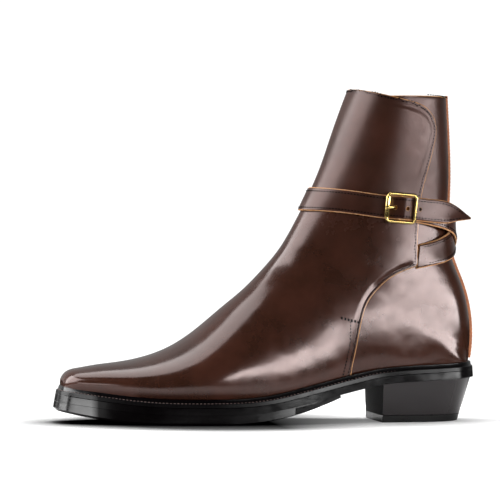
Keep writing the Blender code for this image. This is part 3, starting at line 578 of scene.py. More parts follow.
class Panel:
    """The front panel's grid, its edge line and its finished outer face."""

    def __init__(self):
        outline = panel_outline()
        top = self.top_section(outline)
        rows = [np.linspace(0, 4, 34), np.linspace(4, 18, 150)[1:], np.linspace(18, 24.4, 46)[1:]]
        t = np.concatenate(rows + [np.linspace(24.4, top, 60)[1:]])
        from_edge = (0.0, 0.12, 0.3, 0.6, 1.1, 1.6, 2.1, 2.6, 3.2, 4.0, 5.0, 6.0, 7.0)
        reach = {side: panel_reach(t, side, outline) for side in (-1, 1)}
        lateral = spread_columns(t, reach[-1], -1, from_edge, 34)
        medial = spread_columns(t, reach[1], 1, from_edge, 34)
        self.s = np.concatenate([-lateral[:, ::-1], medial[:, 1:]], axis=1)
        self.t = np.repeat(t[:, None], self.s.shape[1], axis=1)
        ends = {-1: self.s[:, 0], 1: self.s[:, -1]}
        line = [last_surface(t, ends[side], PANEL_TOP) for side in (-1, 1)]
        cut = {side: reach[side] < 1 for side in (-1, 1)}
        starts = {side: int(np.argmax(cut[side] & (t > 6))) for side in (-1, 1)}
        self.edge = evenly(np.concatenate([line[0][starts[-1] :], line[1][starts[1] :][::-1]]), 0.5)
        plain = last_surface(self.t, self.s, PANEL_TOP)
        self.edge_mm = distance_to(self.edge, plain)
        self.outer = last_surface(self.t, self.s, PANEL_TOP + self.relief(plain))
        self.inner = last_surface(self.t, self.s, GAP)

    def top_section(self, outline):
        t = np.linspace(24, 27, 1500)
        spots = last_surface(t, 0.0, PANEL_TOP)
        within = inside_outline(outline, spots[:, 0], spots[:, 2])
        return float(t[within][-1])

    def relief(self, places):
        """Height added to the flat leather: rolled edge, seam groove, folded flap edge, creases."""
        d = self.edge_mm
        rolled = np.clip(1 - d / 0.6, 0, 1)
        height = -0.45 * (1 - np.sqrt(1 - rolled**2))
        height -= 0.14 * swell(d, PANEL_STITCH_IN, 0.55)
        flap = ramp(places[..., 2], 158, 186)
        flap = flap * ramp(places[..., 0], 64, 92)
        height += 0.4 * flap * (ramp(d, 4.0, 7.6) - 1)
        height += 0.1 * flap * swell(d, 6.8, 1.4)
        height -= 0.2 * (1 - ramp(places[..., 2], 120, 150)) * (1 - ramp(d, 3.0, 5.2))
        return height + creases(places)


def creases(places):
    """Troughs and ridges where the leather has bent, placed one by one on the last."""
    height = np.zeros(places.shape[:-1])
    for crease in CREASES:
        line = smooth_line([(crease.x0, crease.z0), (crease.x1, crease.z1), (crease.x2, crease.z2)], 1.0)
        away = np.full(height.shape, 1e9)
        share = np.zeros(height.shape)
        for number, (x, z) in enumerate(line):
            gap = np.hypot(places[..., 0] - x, places[..., 2] - z)
            nearer = gap < away
            away = np.where(nearer, gap, away)
            share = np.where(nearer, number / (len(line) - 1), share)
        fade = np.sin(np.clip(share, 0.02, 0.98) * math.pi)
        on_side = np.where(places[..., 1] * crease.side > -4, 1.0, 0.0)
        height += crease.height * fade * on_side * swell(away, 0, crease.width)
    return height


class Quarters:
    """The wall under the panel: quarters outside, lining inside, open at the collar and below."""

    def __init__(self):
        rows = [np.linspace(0, 10, 40), np.linspace(10, 18, 64)[1:], np.linspace(18, 25.2, 84)[1:]]
        t = np.concatenate(rows + [25.2 + np.array(COLLAR_SHARES)])
        across = np.concatenate([np.linspace(0, 0.55, 26), np.linspace(0.55, 1, 46)[1:]])
        s = np.concatenate([-across[::-1], across[1:]])
        top = self.top_sections(s)
        self.t, self.s = np.repeat(t[:, None], len(s), axis=1), np.repeat(s[None, :], len(t), axis=0)
        self.t = np.where(self.t > 25.2, 25.2 + (self.t - 25.2) * (top[None, :] - 25.2), self.t)
        collar = last_surface(top, s, 0.0)
        plain = last_surface(self.t, self.s, 0.0)
        self.edge_mm = distance_to(collar, plain)
        rolled = np.clip(1 - self.edge_mm / 0.6, 0, 1)
        height = -0.4 * (1 - np.sqrt(1 - rolled**2)) - 0.12 * swell(self.edge_mm, COLLAR_STITCH_IN, 0.5)
        self.outer = last_surface(self.t, self.s, height)
        self.inner = last_surface(self.t, self.s, -WALL)
        self.even_heel()
        back = (self.t >= BACK_CLOSES) & (np.abs(self.s) == 1)
        self.open_rim = back.reshape(-1)

    def even_heel(self):
        """Smooths the wall round the heel and tucks its foot in. The inner face moves with the outer one."""
        width = self.outer[..., 1].copy()
        for _ in range(HEEL_EVENING):
            sides = width[:-2, 1:-1] + width[2:, 1:-1] + width[1:-1, :-2] + width[1:-1, 2:]
            width[1:-1, 1:-1] = 0.4 * width[1:-1, 1:-1] + 0.15 * sides
        x, y, z = self.outer[..., 0], self.outer[..., 1], self.outer[..., 2]
        moved = ramp(x, 92, 116) * (width - y)
        moved -= HEEL_TUCK * ramp(x, 106, 122) * ramp(np.abs(y), 4, 16) * (1 - ramp(z, 43, 64)) * np.sign(y)
        room = FOOT_ROOM + HEEL_ROOM * ramp(z - welt_line(x), 1, 15)
        moved = np.clip(moved, -room, room)
        self.outer[..., 1] += moved
        self.inner[..., 1] += moved

    def top_sections(self, s):
        """The section at which each column meets the collar line."""
        tries = np.linspace(25.2, COLLAR, 200)
        places = last_surface(tries[:, None], s[None, :], 0.0)
        line_x, line_z = zip(*COLLAR_LINE)
        under = places[..., 2] < np.interp(places[..., 0], line_x, line_z)
        return tries[np.where(under.all(axis=0), len(tries) - 1, under.argmin(axis=0))]


def surface_tree(t, s, lift):
    points = last_surface(t[:, None], s[None, :], lift).reshape(-1, 3)
    return BVHTree.FromPolygons(points.tolist(), grid_faces(len(t), len(s)))


def seen_from_side(tree, flat, side, lift):
    """Points of the surface under (x, z) pairs, looked at from one side."""
    spots = []
    for x, z in flat:
        hit, normal, _, _ = tree.ray_cast(Vector((x, side * 120.0, z)), Vector((0, -side, 0)))
        if hit is not None:
            outward = normal if normal.y * side > 0 else -normal
            spots.append(np.array(hit + outward * lift))
    return np.array(spots)


# Straps


class Ankle:
    """Reads the upper's outer face from the ankle's upright axis, as the straps lie on it."""

    def __init__(self):
        self.tree = surface_tree(np.linspace(11, COLLAR, 150), np.linspace(-1, 1, 221), 0.0)

    def spot(self, angle, z, lift):
        way = Vector((math.cos(math.radians(angle)), math.sin(math.radians(angle)), 0))
        start = Vector((ANKLE_X, 0, z))
        _, normal, _, distance = self.tree.ray_cast(start, way)
        slant = max(abs(normal.dot(way)), 0.5)
        return np.array(start + way * (distance + lift / slant))


def strap_profile(half_up, half_down, thickness):
    """Corners of a strap's section as (across, lift): grain side crowned, cut sides nearly square."""
    low, high = min(0.75, half_down / 4), min(0.5, half_up / 4)
    grain = [
        (-half_down + low, thickness - 0.14),
        (-half_down + 1.4 * low, thickness - 0.04),
        (-half_down * 0.8, thickness),
        (-half_down * 0.4, thickness + 0.03),
        (0.0, thickness + 0.04),
        (half_up * 0.4, thickness + 0.03),
        (half_up * 0.8, thickness),
        (half_up - 1.4 * high, thickness - 0.04),
        (half_up - high, thickness - 0.14),
    ]
    under = [(half_up, thickness * 0.5), (half_up, 0.15), (half_up - 0.15, 0.0), (0.0, 0.0)]
    under += [(-half_down + 0.15, 0.0), (-half_down, 0.15), (-half_down, thickness * 0.5)]
    return grain + under


STRAP_SLOTS = [0] * 8 + [1] * 8


class Strap:
    """One strap wound round the ankle through a table of Wrap rows, finely divided."""

    def __init__(self, ankle, rows, thickness, spacing, lean):
        self.lean = lean
        rows = np.array(rows)
        index = np.arange(len(rows))
        self.read = [natural_spline(index, rows[:, k]) for k in range(rows.shape[1])]
        self.ankle = ankle
        self.thickness = thickness
        tries = np.linspace(0, len(rows) - 1, 600)
        middle = np.array([self.at(k, 0.0, 0.0) for k in tries])
        travelled = np.concatenate([[0.0], np.cumsum(np.linalg.norm(np.diff(middle, axis=0), axis=1))])
        self.length = travelled[-1]
        self.places = np.interp(np.arange(0, self.length, spacing), travelled, tries)
        self.places = np.append(self.places, len(rows) - 1)

    def at(self, k, across, lift):
        """A point of the strap: k along its rows, across its width, at a lift from its inner face."""
        angle, z, clear = (float(self.read[n](k)) for n in range(3))
        turn = math.radians(float(self.read[0](k + 0.05) - self.read[0](k - 0.05))) * ANKLE_RADIUS
        climb = float(self.read[1](k + 0.05) - self.read[1](k - 0.05))
        length = math.hypot(turn, climb)
        lean = -climb * math.copysign(1, turn) / length
        turned = angle + math.degrees(across * lean / ANKLE_RADIUS)
        return self.ankle.spot(turned, z + across * abs(turn) / length, clear + lift)

    def halves(self, k):
        return float(self.read[3](k)), float(self.read[4](k))

    def rings(self):
        """Sections along the strap. The first few lean, so that its end stands upright in the seam."""
        rings = []
        self.edge_mm = []
        for k in self.places:
            up, down = self.halves(k)
            lean = self.lean * (1 - ramp(k, 0.0, 1.2))
            section = strap_profile(up, down, self.thickness)
            rings.append([self.at(k + lean * (across / HALF - 1), across, lift) for across, lift in section])
            self.edge_mm += [min(up - across, down + across) for across, _ in section]
        return rings

    def row(self, inset, upper_side, k_from, k_to, spacing=1.0):
        """A stitch line along one side of the strap, inset from its edge."""
        spots = []
        for k in np.linspace(k_from, k_to, 260):
            up, down = self.halves(k)
            across = up - inset if upper_side else inset - down
            spots.append(self.at(k, across, self.thickness))
        return evenly(spots, spacing)


def buckle_axes(ankle):
    """Axes at the buckle: its foot on the upper, then back along the strap, up, and outwards."""
    foot = Vector(ankle.spot(BUCKLE_ANGLE, BUCKLE_Z, 0.0))
    before = Vector(ankle.spot(BUCKLE_ANGLE - 14, BUCKLE_Z, 0.0))
    after = Vector(ankle.spot(BUCKLE_ANGLE + 14, BUCKLE_Z, 0.0))
    back = (after - before).normalized()
    back = (back - Vector((0, 0, math.tan(math.radians(BUCKLE_TILT))))).normalized()
    above = Vector(ankle.spot(BUCKLE_ANGLE, BUCKLE_Z + HALF, 0.0))
    below = Vector(ankle.spot(BUCKLE_ANGLE, BUCKLE_Z - HALF, 0.0))
    out = back.cross(above - below).normalized()
    up = out.cross(back).normalized()
    return foot, back, up, out


def in_frame(axes, along, high, proud):
    foot, back, up, out = axes
    return np.array(foot + back * float(along) + up * float(high) + out * float(proud))


def wire_mesh(name, points, radii, sides=20, cyclic=False, flatten=1.0, flat_way=None):
    """A round wire through points, with a radius at each. flatten squeezes it along flat_way."""
    points = np.asarray(points, float)
    count = len(points)
    radii = np.broadcast_to(np.asarray(radii, float), (count,))
    if cyclic:
        along = np.roll(points, -1, axis=0) - np.roll(points, 1, axis=0)
    else:
        along = np.gradient(points, axis=0)
    along /= np.linalg.norm(along, axis=1, keepdims=True)
    side = np.cross(along[0], (0.3, 0.2, 0.9))
    side /= np.linalg.norm(side)
    rings = []
    for spot, way, radius in zip(points, along, radii):
        side = side - way * np.dot(side, way)
        side /= np.linalg.norm(side)
        other = np.cross(way, side)
        ring = []
        for number in range(sides):
            turn = 2 * math.pi * number / sides
            offset = radius * (math.cos(turn) * side + math.sin(turn) * other)
            if flat_way is not None:
                offset = offset - flat_way * np.dot(offset, flat_way) * (1 - flatten)
            ring.append(spot + offset)
        rings.append(ring)
    return loft_mesh(name, rings, cyclic=cyclic, sharp_angle=60)


def join_meshes(name, meshes):
    """One mesh from several."""
    bm = bmesh.new()
    for mesh in meshes:
        bm.from_mesh(mesh)
    joined = bpy.data.meshes.new(name)
    bm.to_mesh(joined)
    bm.free()
    return joined


def punch(piece, cutter_mesh):
    """Cuts a hole through a piece."""
    cutter = bpy.data.objects.new("punch", cutter_mesh)
    bpy.context.scene.collection.objects.link(cutter)
    step = piece.modifiers.new("Punch", "BOOLEAN")
    step.object, step.operation, step.solver = cutter, "DIFFERENCE", "EXACT"
    graph = bpy.context.evaluated_depsgraph_get()
    mesh = bpy.data.meshes.new_from_object(piece.evaluated_get(graph))
    piece.modifiers.remove(step)
    piece.data = mesh
    mesh.shade_smooth()
    mesh.set_sharp_from_angle(angle=math.radians(50))
    bpy.data.objects.remove(cutter)


# Stitches


def node(tree, kind, inputs=None, **settings):
    """Adds a node with its settings. An input is a value or another node's output socket."""
    made = tree.nodes.new(kind)
    for name, value in settings.items():
        setattr(made, name, value)
    for name, value in (inputs or {}).items():
        socket = made.inputs[name]
        if isinstance(value, bpy.types.NodeSocket):
            tree.links.new(value, socket)
        else:
            socket.default_value = value
    return made


def stitch_tree():
    """Geometry Nodes: thread stitches of one length along a line, each a soft capsule in the leather."""
    tree = bpy.data.node_groups.new("Stitch row", "GeometryNodeTree")
    tree.is_modifier = True
    face = tree.interface
    face.new_socket("Line", in_out="INPUT", socket_type="NodeSocketGeometry")
    sizes = (("Pitch", 0.0024), ("Length", 0.0019), ("Width", 0.0008), ("Height", 0.0005))
    for label, default in sizes:
        socket = face.new_socket(label, in_out="INPUT", socket_type="NodeSocketFloat")
        socket.default_value = default
        socket.min_value = 0.0001
    face.new_socket("Thread", in_out="INPUT", socket_type="NodeSocketMaterial")
    face.new_socket("Stitches", in_out="OUTPUT", socket_type="NodeSocketGeometry")
    given = tree.nodes.new("NodeGroupInput").outputs
    curve = node(tree, "GeometryNodeMeshToCurve", {"Mesh": given["Line"]})
    even = node(
        tree,
        "GeometryNodeResampleCurve",
        {"Curve": curve.outputs[0], "Length": given["Pitch"]},
        mode="LENGTH",
    )
    way = node(tree, "GeometryNodeInputTangent")
    turned = node(tree, "FunctionNodeAlignRotationToVector", {"Vector": way.outputs[0]}, axis="X")
    bead = node(tree, "GeometryNodeMeshUVSphere", {"Segments": 8, "Rings": 6, "Radius": 0.5})
    smooth = node(tree, "GeometryNodeSetShadeSmooth", {"Geometry": bead.outputs[0]})
    size = node(
        tree, "ShaderNodeCombineXYZ", {"X": given["Length"], "Y": given["Width"], "Z": given["Height"]}
    )
    row = node(
        tree,
        "GeometryNodeInstanceOnPoints",
        {
            "Points": even.outputs[0],
            "Instance": smooth.outputs[0],
            "Rotation": turned.outputs[0],
            "Scale": size.outputs[0],
        },
    )
    real = node(tree, "GeometryNodeRealizeInstances", {"Geometry": row.outputs[0]})
    thread = node(tree, "GeometryNodeSetMaterial", {"Geometry": real.outputs[0], "Material": given["Thread"]})
    out = tree.nodes.new("NodeGroupOutput")
    tree.links.new(thread.outputs[0], out.inputs["Stitches"])
    return tree


def stitch_rows(name, lines, sizes, thread, slot):
    """Makes one piece of stitches along lines given in table millimetres."""
    points, edges = [], []
    for line in lines:
        start = len(points)
        points += built(line).tolist()
        edges += [(start + i, start + i + 1) for i in range(len(line) - 1)]
    mesh = bpy.data.meshes.new(name + "_line")
    mesh.from_pydata(points, edges, [])
    guide = bpy.data.objects.new(name + "_line", mesh)
    bpy.context.scene.collection.objects.link(guide)
    tree = bpy.data.node_groups.get("Stitch row") or stitch_tree()
    step = guide.modifiers.new("Stitch row", "NODES")
    step.node_group = tree
    values = {"Pitch": sizes.pitch, "Length": sizes.length, "Width": sizes.width, "Height": sizes.height}
    values["Thread"] = thread
    for item in tree.interface.items_tree:
        if item.in_out == "INPUT" and item.name in values:
            step[item.identifier] = values[item.name]
    graph = bpy.context.evaluated_depsgraph_get()
    stitches = bpy.data.meshes.new_from_object(guide.evaluated_get(graph))
    stitches.name = name
    stitches.materials.clear()
    guide.modifiers.remove(step)
    bpy.data.objects.remove(guide)
    return place(name, stitches, [thread], slot=slot)


def step_at(side, x):
    """The section number whose feather edge on this side is at x."""
    steps = np.linspace(0, BACK_CLOSES, 400)
    return float(np.interp(x, column(side + "_x", steps), steps))


def plan_edge(side, reach, x_from=None, x_to=None, count=30):
    """The sole's edge in plan on one side, at a reach outside the feather edge.

    It starts at the toe's centre or at x_from, and ends at the heel's back or at x_to. The reach
    is one distance, or a function of x.
    """
    end = BACK_CLOSES if x_to is None else step_at(side, x_to)
    if x_from is None:
        t = np.concatenate([np.linspace(0, 4, 24)[:-1], np.linspace(4.0, end, count)])
    else:
        t = np.linspace(step_at(side, x_from), end, count)
    outline = np.stack([column(side + "_x", t), column(side + "_y", t)], axis=-1)
    if x_from is None:
        middle = np.array([outline[0, 0], LAST[0].ridge_y])
        outline = np.concatenate([[middle, (middle + outline[0]) / 2], outline])
    along = np.gradient(outline, axis=0)
    normal = np.stack([along[:, 1], -along[:, 0]], axis=-1)
    normal *= (1 if side == "lat" else -1) / np.linalg.norm(normal, axis=-1, keepdims=True)
    if x_to is None:
        normal[-1] = (1, 0)
    distance = reach(outline[:, 0]) if callable(reach) else reach
    return outline + normal * np.reshape(distance, (-1, 1))


def seat_share(x):
    """0 along the welted forepart, 1 at the heel seat, with a smooth change at the waist."""
    share = np.clip((np.asarray(x) - 60.0) / 22.0, 0, 1)
    return share * share * (3 - 2 * share)


def blended(front, back, more=0.0):
    return lambda x: front + (back - front) * seat_share(x) + more


def tread_height(x):
    """The outsole's underside: flat under the ball, rising to the toe and to the waist."""
    toe = max((FLAT_FROM - x) / (FLAT_FROM - TOE_END), 0.0)
    waist = max((x - FLAT_TO) / (SKIVE_END - FLAT_TO), 0.0)
    return TOE_SPRING * toe**TOE_POWER + SKIVE_RISE * waist**SKIVE_POWER


def under_welt(x, y, depth):
    """A point of the sole's side at a depth below the welt line, square to the sole."""
    slope = (welt_line(x + 1) - welt_line(x - 1)) / 2
    return float(x + EDGE_LEAN * slope * depth), float(y), float(welt_line(x) - depth)


def at_tread(x, y, above=0.0):
    depth = welt_line(x) - tread_height(x) - above
    return under_welt(x, y, depth)


def layer(name, levels, **span):
    """A sole layer. Each level, from the lowest, is a reach and a function that places its points."""
    sides = []
    for side in ("lat", "med"):
        sides.append([[place(x, y) for x, y in plan_edge(side, reach, **span)] for reach, place in levels])
    lateral, medial = sides
    stations = range(len(lateral[0]))
    rings = [[c[i] for c in lateral] + [c[i] for c in reversed(medial)] for i in stations]
    return loft_mesh(name, rings, sharp_angle=16)


def heel_point(z_at):
    """Places a heel edge point: the block narrows and moves forward towards the floor."""

    def place(x, y):
        z = float(z_at(x))
        down = 1 - z / HEEL_TOP_Z
        length = HEEL_BACK_X - BREAST_X
        share = (x - BREAST_X) / (length + 2.0)
        return BREAST_X + share * (length - HEEL_UNDERCUT * down), y * (1 - HEEL_NARROWING * down), z

    return place


# Finishes


def from_hex(code):
    """An sRGB hex colour as linear red, green, blue and full alpha."""
    parts = [int(code[i : i + 2], 16) / 255 for i in (1, 3, 5)]
    return tuple(p / 12.92 if p <= 0.04045 else ((p + 0.055) / 1.055) ** 2.4 for p in parts) + (1.0,)


def finish(name):
    """A new material with an empty node tree, and its output node."""
    made = bpy.data.materials.new(name)
    made.use_nodes = True
    made.node_tree.nodes.clear()
    return made, made.node_tree, made.node_tree.nodes.new("ShaderNodeOutputMaterial")


def per_mm(size):
    """A texture's scale for a feature of this size in millimetres."""
    return 1.0 / (size * MM)


def calf_leather(name, deep, light, gloss, wave, row):
    """Polished aniline calf, wax coated: tan at its cut edge, with painted shade darkening the stitch groove
    beside it.
    """
    made, tree, out = finish(name)
    place_on = node(tree, "ShaderNodeTexCoord").outputs["Object"]
    mottle = node(
        tree, "ShaderNodeTexNoise", {"Vector": place_on, "Scale": per_mm(26), "Detail": 5.0, "Roughness": 0.6}
    )
    span = node(tree, "ShaderNodeMapRange", {0: mottle.outputs[0], 1: 0.36, 2: 0.66})
    colour = node(
        tree, "ShaderNodeMix", {0: span.outputs[0], 6: from_hex(deep), 7: from_hex(light)}, data_type="RGBA"
    )
    edge = node(tree, "ShaderNodeAttribute", attribute_name="edge_mm").outputs["Fac"]
    # Painted shade: the colour darkens towards #120704 in the stitch groove, at the row's distance from the
    # edge.
    off_row = node(tree, "ShaderNodeMath", {0: edge, 1: row, 2: 0.0}, operation="SUBTRACT")
    from_row = node(tree, "ShaderNodeMath", {0: off_row.outputs[0]}, operation="ABSOLUTE")
    on_row = node(tree, "ShaderNodeMapRange", {0: from_row.outputs[0], 1: 0.3, 2: 1.0, 3: 0.3, 4: 0.0})
    groove_shaded = node(
        tree,
        "ShaderNodeMix",
        {0: on_row.outputs[0], 6: colour.outputs[2], 7: from_hex("#120704")},
        data_type="RGBA",
    )
    cut = node(tree, "ShaderNodeMapRange", {0: edge, 1: 0.35, 2: 0.6, 3: 1.0, 4: 0.0})
    dyed = node(
        tree,
        "ShaderNodeMix",
        {0: cut.outputs[0], 6: groove_shaded.outputs[2], 7: from_hex("#c8935c")},
        data_type="RGBA",
    )
    haze = node(tree, "ShaderNodeTexNoise", {"Vector": place_on, "Scale": per_mm(7), "Detail": 4.0})
    hazy = node(
        tree, "ShaderNodeMapRange", {0: haze.outputs[0], 1: 0.3, 2: 0.7, 3: gloss - 0.03, 4: gloss + 0.05}
    )
    height = node(tree, "ShaderNodeSeparateXYZ", {"Vector": place_on}).outputs[2]
    duller = node(tree, "ShaderNodeMapRange", {0: height, 1: 0.11, 2: 0.17, 3: 0.0, 4: 0.15})
    rough = node(tree, "ShaderNodeMath", {0: hazy.outputs[0], 1: duller.outputs[0]}, operation="ADD")
    waxed = node(tree, "ShaderNodeMapRange", {0: height, 1: 0.11, 2: 0.17, 3: 0.3, 4: 0.0})
    pores = node(tree, "ShaderNodeTexVoronoi", {"Vector": place_on, "Scale": per_mm(0.9)}, feature="F1")
    grain = node(tree, "ShaderNodeTexNoise", {"Vector": place_on, "Scale": per_mm(1.6), "Detail": 3.0})
    fine = node(
        tree, "ShaderNodeMath", {0: pores.outputs["Distance"], 1: grain.outputs[0]}, operation="MULTIPLY"
    )
    sway = node(tree, "ShaderNodeTexNoise", {"Vector": place_on, "Scale": per_mm(21), "Detail": 1.5})
    large = node(tree, "ShaderNodeBump", {"Height": sway.outputs[0], "Strength": 1.0, "Distance": wave * MM})
    small = node(
        tree,
        "ShaderNodeBump",
        {"Height": fine.outputs[0], "Normal": large.outputs[0], "Strength": 0.35, "Distance": 0.03 * MM},
    )
    shader = node(
        tree,
        "ShaderNodeBsdfPrincipled",
        {
            "Base Color": dyed.outputs[2],
            "Roughness": rough.outputs[0],
            "Normal": small.outputs[0],
            "IOR": 1.5,
            "Specular IOR Level": 0.6,
            "Specular Tint": from_hex("#ffe2de"),
            "Coat Weight": waxed.outputs[0],
            "Coat Roughness": 0.15,
            "Coat IOR": 1.5,
            "Coat Normal": large.outputs[0],
        },
    )
    tree.links.new(shader.outputs[0], out.inputs[0])
    return made


def raw_edge(name, pale, tan, rough=0.75):
    """Cut edge of undyed leather: loose tan fibres, matt, with paler and darker streaks."""
    made, tree, out = finish(name)
    place_on = node(tree, "ShaderNodeTexCoord").outputs["Object"]
    fibres = node(tree, "ShaderNodeTexNoise", {"Vector": place_on, "Scale": per_mm(0.8), "Detail": 4.0})
    span = node(tree, "ShaderNodeMapRange", {0: fibres.outputs[0], 1: 0.35, 2: 0.65})
    colour = node(
        tree, "ShaderNodeMix", {0: span.outputs[0], 6: from_hex(tan), 7: from_hex(pale)}, data_type="RGBA"
    )
    bump = node(tree, "ShaderNodeBump", {"Height": fibres.outputs[0], "Strength": 0.6, "Distance": 0.12 * MM})
    shader = node(
        tree,
        "ShaderNodeBsdfPrincipled",
        {"Base Color": colour.outputs[2], "Roughness": rough, "Normal": bump.outputs[0], "IOR": 1.45},
    )
    tree.links.new(shader.outputs[0], out.inputs[0])
    return made


def edge_black(name, tone, gloss, shine_shade):
    """Black edge dressing, burnished. shine_shade says how its shine varies from the toe to the heel: painted
    shade along the ball and a painted reflection at the toe.
    """
    made, tree, out = finish(name)
    place_on = node(tree, "ShaderNodeTexCoord").outputs["Object"]
    worked = node(tree, "ShaderNodeTexNoise", {"Vector": place_on, "Scale": per_mm(9), "Detail": 4.0})
    rough = node(
        tree, "ShaderNodeMapRange", {0: worked.outputs[0], 1: 0.3, 2: 0.7, 3: gloss - 0.04, 4: gloss + 0.05}
    )
    flat = node(tree, "ShaderNodeMapping", {"Vector": place_on, "Scale": (1.0, 1.0, 6.0)})
    lifts = node(tree, "ShaderNodeTexNoise", {"Vector": flat.outputs[0], "Scale": per_mm(14), "Detail": 2.0})
    bump = node(tree, "ShaderNodeBump", {"Height": lifts.outputs[0], "Strength": 0.2, "Distance": 0.06 * MM})
    shader = node(
        tree,
        "ShaderNodeBsdfPrincipled",
        {
            "Base Color": from_hex(tone),
            "Roughness": rough.outputs[0],
            "Normal": bump.outputs[0],
            "IOR": 1.5,
            "Specular IOR Level": 0.5,
        },
    )
    # The shine along the edge stands in for light and shade: cut low at the ball as painted shade, full at
    # the toe as a painted reflection.
    if shine_shade:
        along = node(tree, "ShaderNodeSeparateXYZ", {"Vector": place_on})
        toe = node(
            tree,
            "ShaderNodeMapRange",
            {0: along.outputs[0], 1: shine_shade.toe_from, 2: shine_shade.toe_to, 3: shine_shade.toe, 4: shine_shade.ball},
        )
        waist = node(
            tree,
            "ShaderNodeMapRange",
            {0: along.outputs[0], 1: shine_shade.waist_from, 2: shine_shade.waist_to, 3: shine_shade.ball, 4: shine_shade.waist},
        )
        shine = node(tree, "ShaderNodeMath", {0: toe.outputs[0], 1: waist.outputs[0]}, operation="MAXIMUM")
        tree.links.new(shine.outputs[0], shader.inputs["Specular IOR Level"])
    tree.links.new(shader.outputs[0], out.inputs[0])
    return made


def polished_brass(name):
    """Cast brass, machine polished: warm yellow with soft wear in its gloss."""
    made, tree, out = finish(name)
    place_on = node(tree, "ShaderNodeTexCoord").outputs["Object"]
    wear = node(tree, "ShaderNodeTexNoise", {"Vector": place_on, "Scale": per_mm(2.2), "Detail": 4.0})
    rough = node(tree, "ShaderNodeMapRange", {0: wear.outputs[0], 1: 0.3, 2: 0.7, 3: 0.12, 4: 0.24})
    bump = node(tree, "ShaderNodeBump", {"Height": wear.outputs[0], "Strength": 0.3, "Distance": 0.04 * MM})
    shader = node(
        tree,
        "ShaderNodeBsdfPrincipled",
        {
            "Base Color": from_hex("#dfc278"),
            "Metallic": 1.0,
            "Roughness": rough.outputs[0],
            "Normal": bump.outputs[0],
        },
    )
    tree.links.new(shader.outputs[0], out.inputs[0])
    return made


def waxed_thread(name, tone, rough=0.5):
    """Twisted linen thread, waxed: slight sheen and a darker lay between its plies."""
    made, tree, out = finish(name)
    place_on = node(tree, "ShaderNodeTexCoord").outputs["Object"]
    plies = node(tree, "ShaderNodeTexNoise", {"Vector": place_on, "Scale": per_mm(0.5), "Detail": 2.0})
    bump = node(tree, "ShaderNodeBump", {"Height": plies.outputs[0], "Strength": 0.5, "Distance": 0.08 * MM})
    shader = node(
        tree,
        "ShaderNodeBsdfPrincipled",
        {
            "Base Color": from_hex(tone),
            "Roughness": rough,
            "Normal": bump.outputs[0],
            "IOR": 1.5,
            "Specular IOR Level": 0.12,
        },
    )
    tree.links.new(shader.outputs[0], out.inputs[0])
    return made


def finishes():
    """Every material of the boot by its short name, made once."""
    if not FINISHES:
        look = bpy.context.scene.boot_leather
        calf = ("#321a10", "#42241a", look.gloss)
        FINISHES["upper"] = calf_leather("Calf leather, chocolate", *calf, look.wave, PANEL_STITCH_IN)
        FINISHES["strap"] = calf_leather("Bridle leather, chocolate", *calf[:2], 0.2, 0.15, STRAP_STITCH_IN)
        FINISHES["cut"] = raw_edge("Cut leather edge", "#e0b184", "#b9763f")
        FINISHES["pale_cut"] = raw_edge("Cut leather edge, pale", "#ead2b0", "#c69a68")
        FINISHES["lining"] = raw_edge("Lining leather", "#caa06c", "#b5864f", 0.6)
        FINISHES["piping"] = raw_edge("Piping leather, tan", "#c87a42", "#9c4f24", 0.5)
        FINISHES["sole"] = edge_black("Sole leather, black edge dressing", "#060405", 0.14, SOLE_SHINE_SHADE)
        FINISHES["heel"] = edge_black("Heel leather, black edge dressing", "#2a2627", 0.2, None)
        # The heel breast is near black and matt: painted shade, for the shadow under the forepart.
        FINISHES["breast"] = raw_edge("Heel breast, black as painted shade", "#060505", "#020202")
        FINISHES["shelf"] = edge_black("Welt leather, black", "#070506", 0.22, WELT_SHINE_SHADE)
        FINISHES["tread"] = raw_edge("Sole leather, tread", "#8f8456", "#6e6436", 0.6)
        FINISHES["rubber"] = edge_black("Heel rubber, black", "#0d0c0c", 0.3, None)
        FINISHES["brass"] = polished_brass("Polished brass")
        FINISHES["thread"] = waxed_thread("Waxed thread, dark brown", "#080403", 0.8)
        FINISHES["welt_thread"] = waxed_thread("Waxed thread, welt", "#6b5a57")
    return FINISHES


FINISHES = {}


# Operators


class BootLeather(bpy.types.PropertyGroup):
    gloss: bpy.props.FloatProperty(
        name="Gloss", description="Roughness of the polished calf", default=0.18, min=0.05, max=0.9
    )
    wave: bpy.props.FloatProperty(
        name="Wave",
        description="Height of the leather's slow unevenness, in millimetres",
        default=0.35,
        min=0.0,
        max=2.0,
    )


class BootStitches(bpy.types.PropertyGroup):
    pitch: bpy.props.FloatProperty(
        name="Pitch", description="Distance from stitch to stitch", default=0.0023, unit="LENGTH", precision=4
    )
    length: bpy.props.FloatProperty(
        name="Length", description="Length of one stitch", default=0.0015, unit="LENGTH", precision=4
    )
    width: bpy.props.FloatProperty(
        name="Width", description="Width of the thread", default=0.0013, unit="LENGTH", precision=4
    )
    height: bpy.props.FloatProperty(
        name="Height", description="Thickness of the thread", default=0.0007, unit="LENGTH", precision=4
    )


class BootStage(bpy.types.PropertyGroup):
    soft_light: bpy.props.FloatProperty(
        name="Soft light", description="Strength of every softbox, as a share", default=1.0, min=0.0, max=10.0
    )


SHARED = {}


def panel_form():
    if "panel" not in SHARED:
        SHARED["panel"] = Panel()
    return SHARED["panel"]


def panel_tree():
    if "panel_tree" not in SHARED:
        panel = panel_form()
        points = panel.outer.reshape(-1, 3).tolist()
        SHARED["panel_tree"] = BVHTree.FromPolygons(points, grid_faces(*panel.outer.shape[:2]))
    return SHARED["panel_tree"]


def ankle_form():
    if "ankle" not in SHARED:
        SHARED["ankle"] = Ankle()
        SHARED["axes"] = buckle_axes(SHARED["ankle"])
    return SHARED["ankle"], SHARED["axes"]


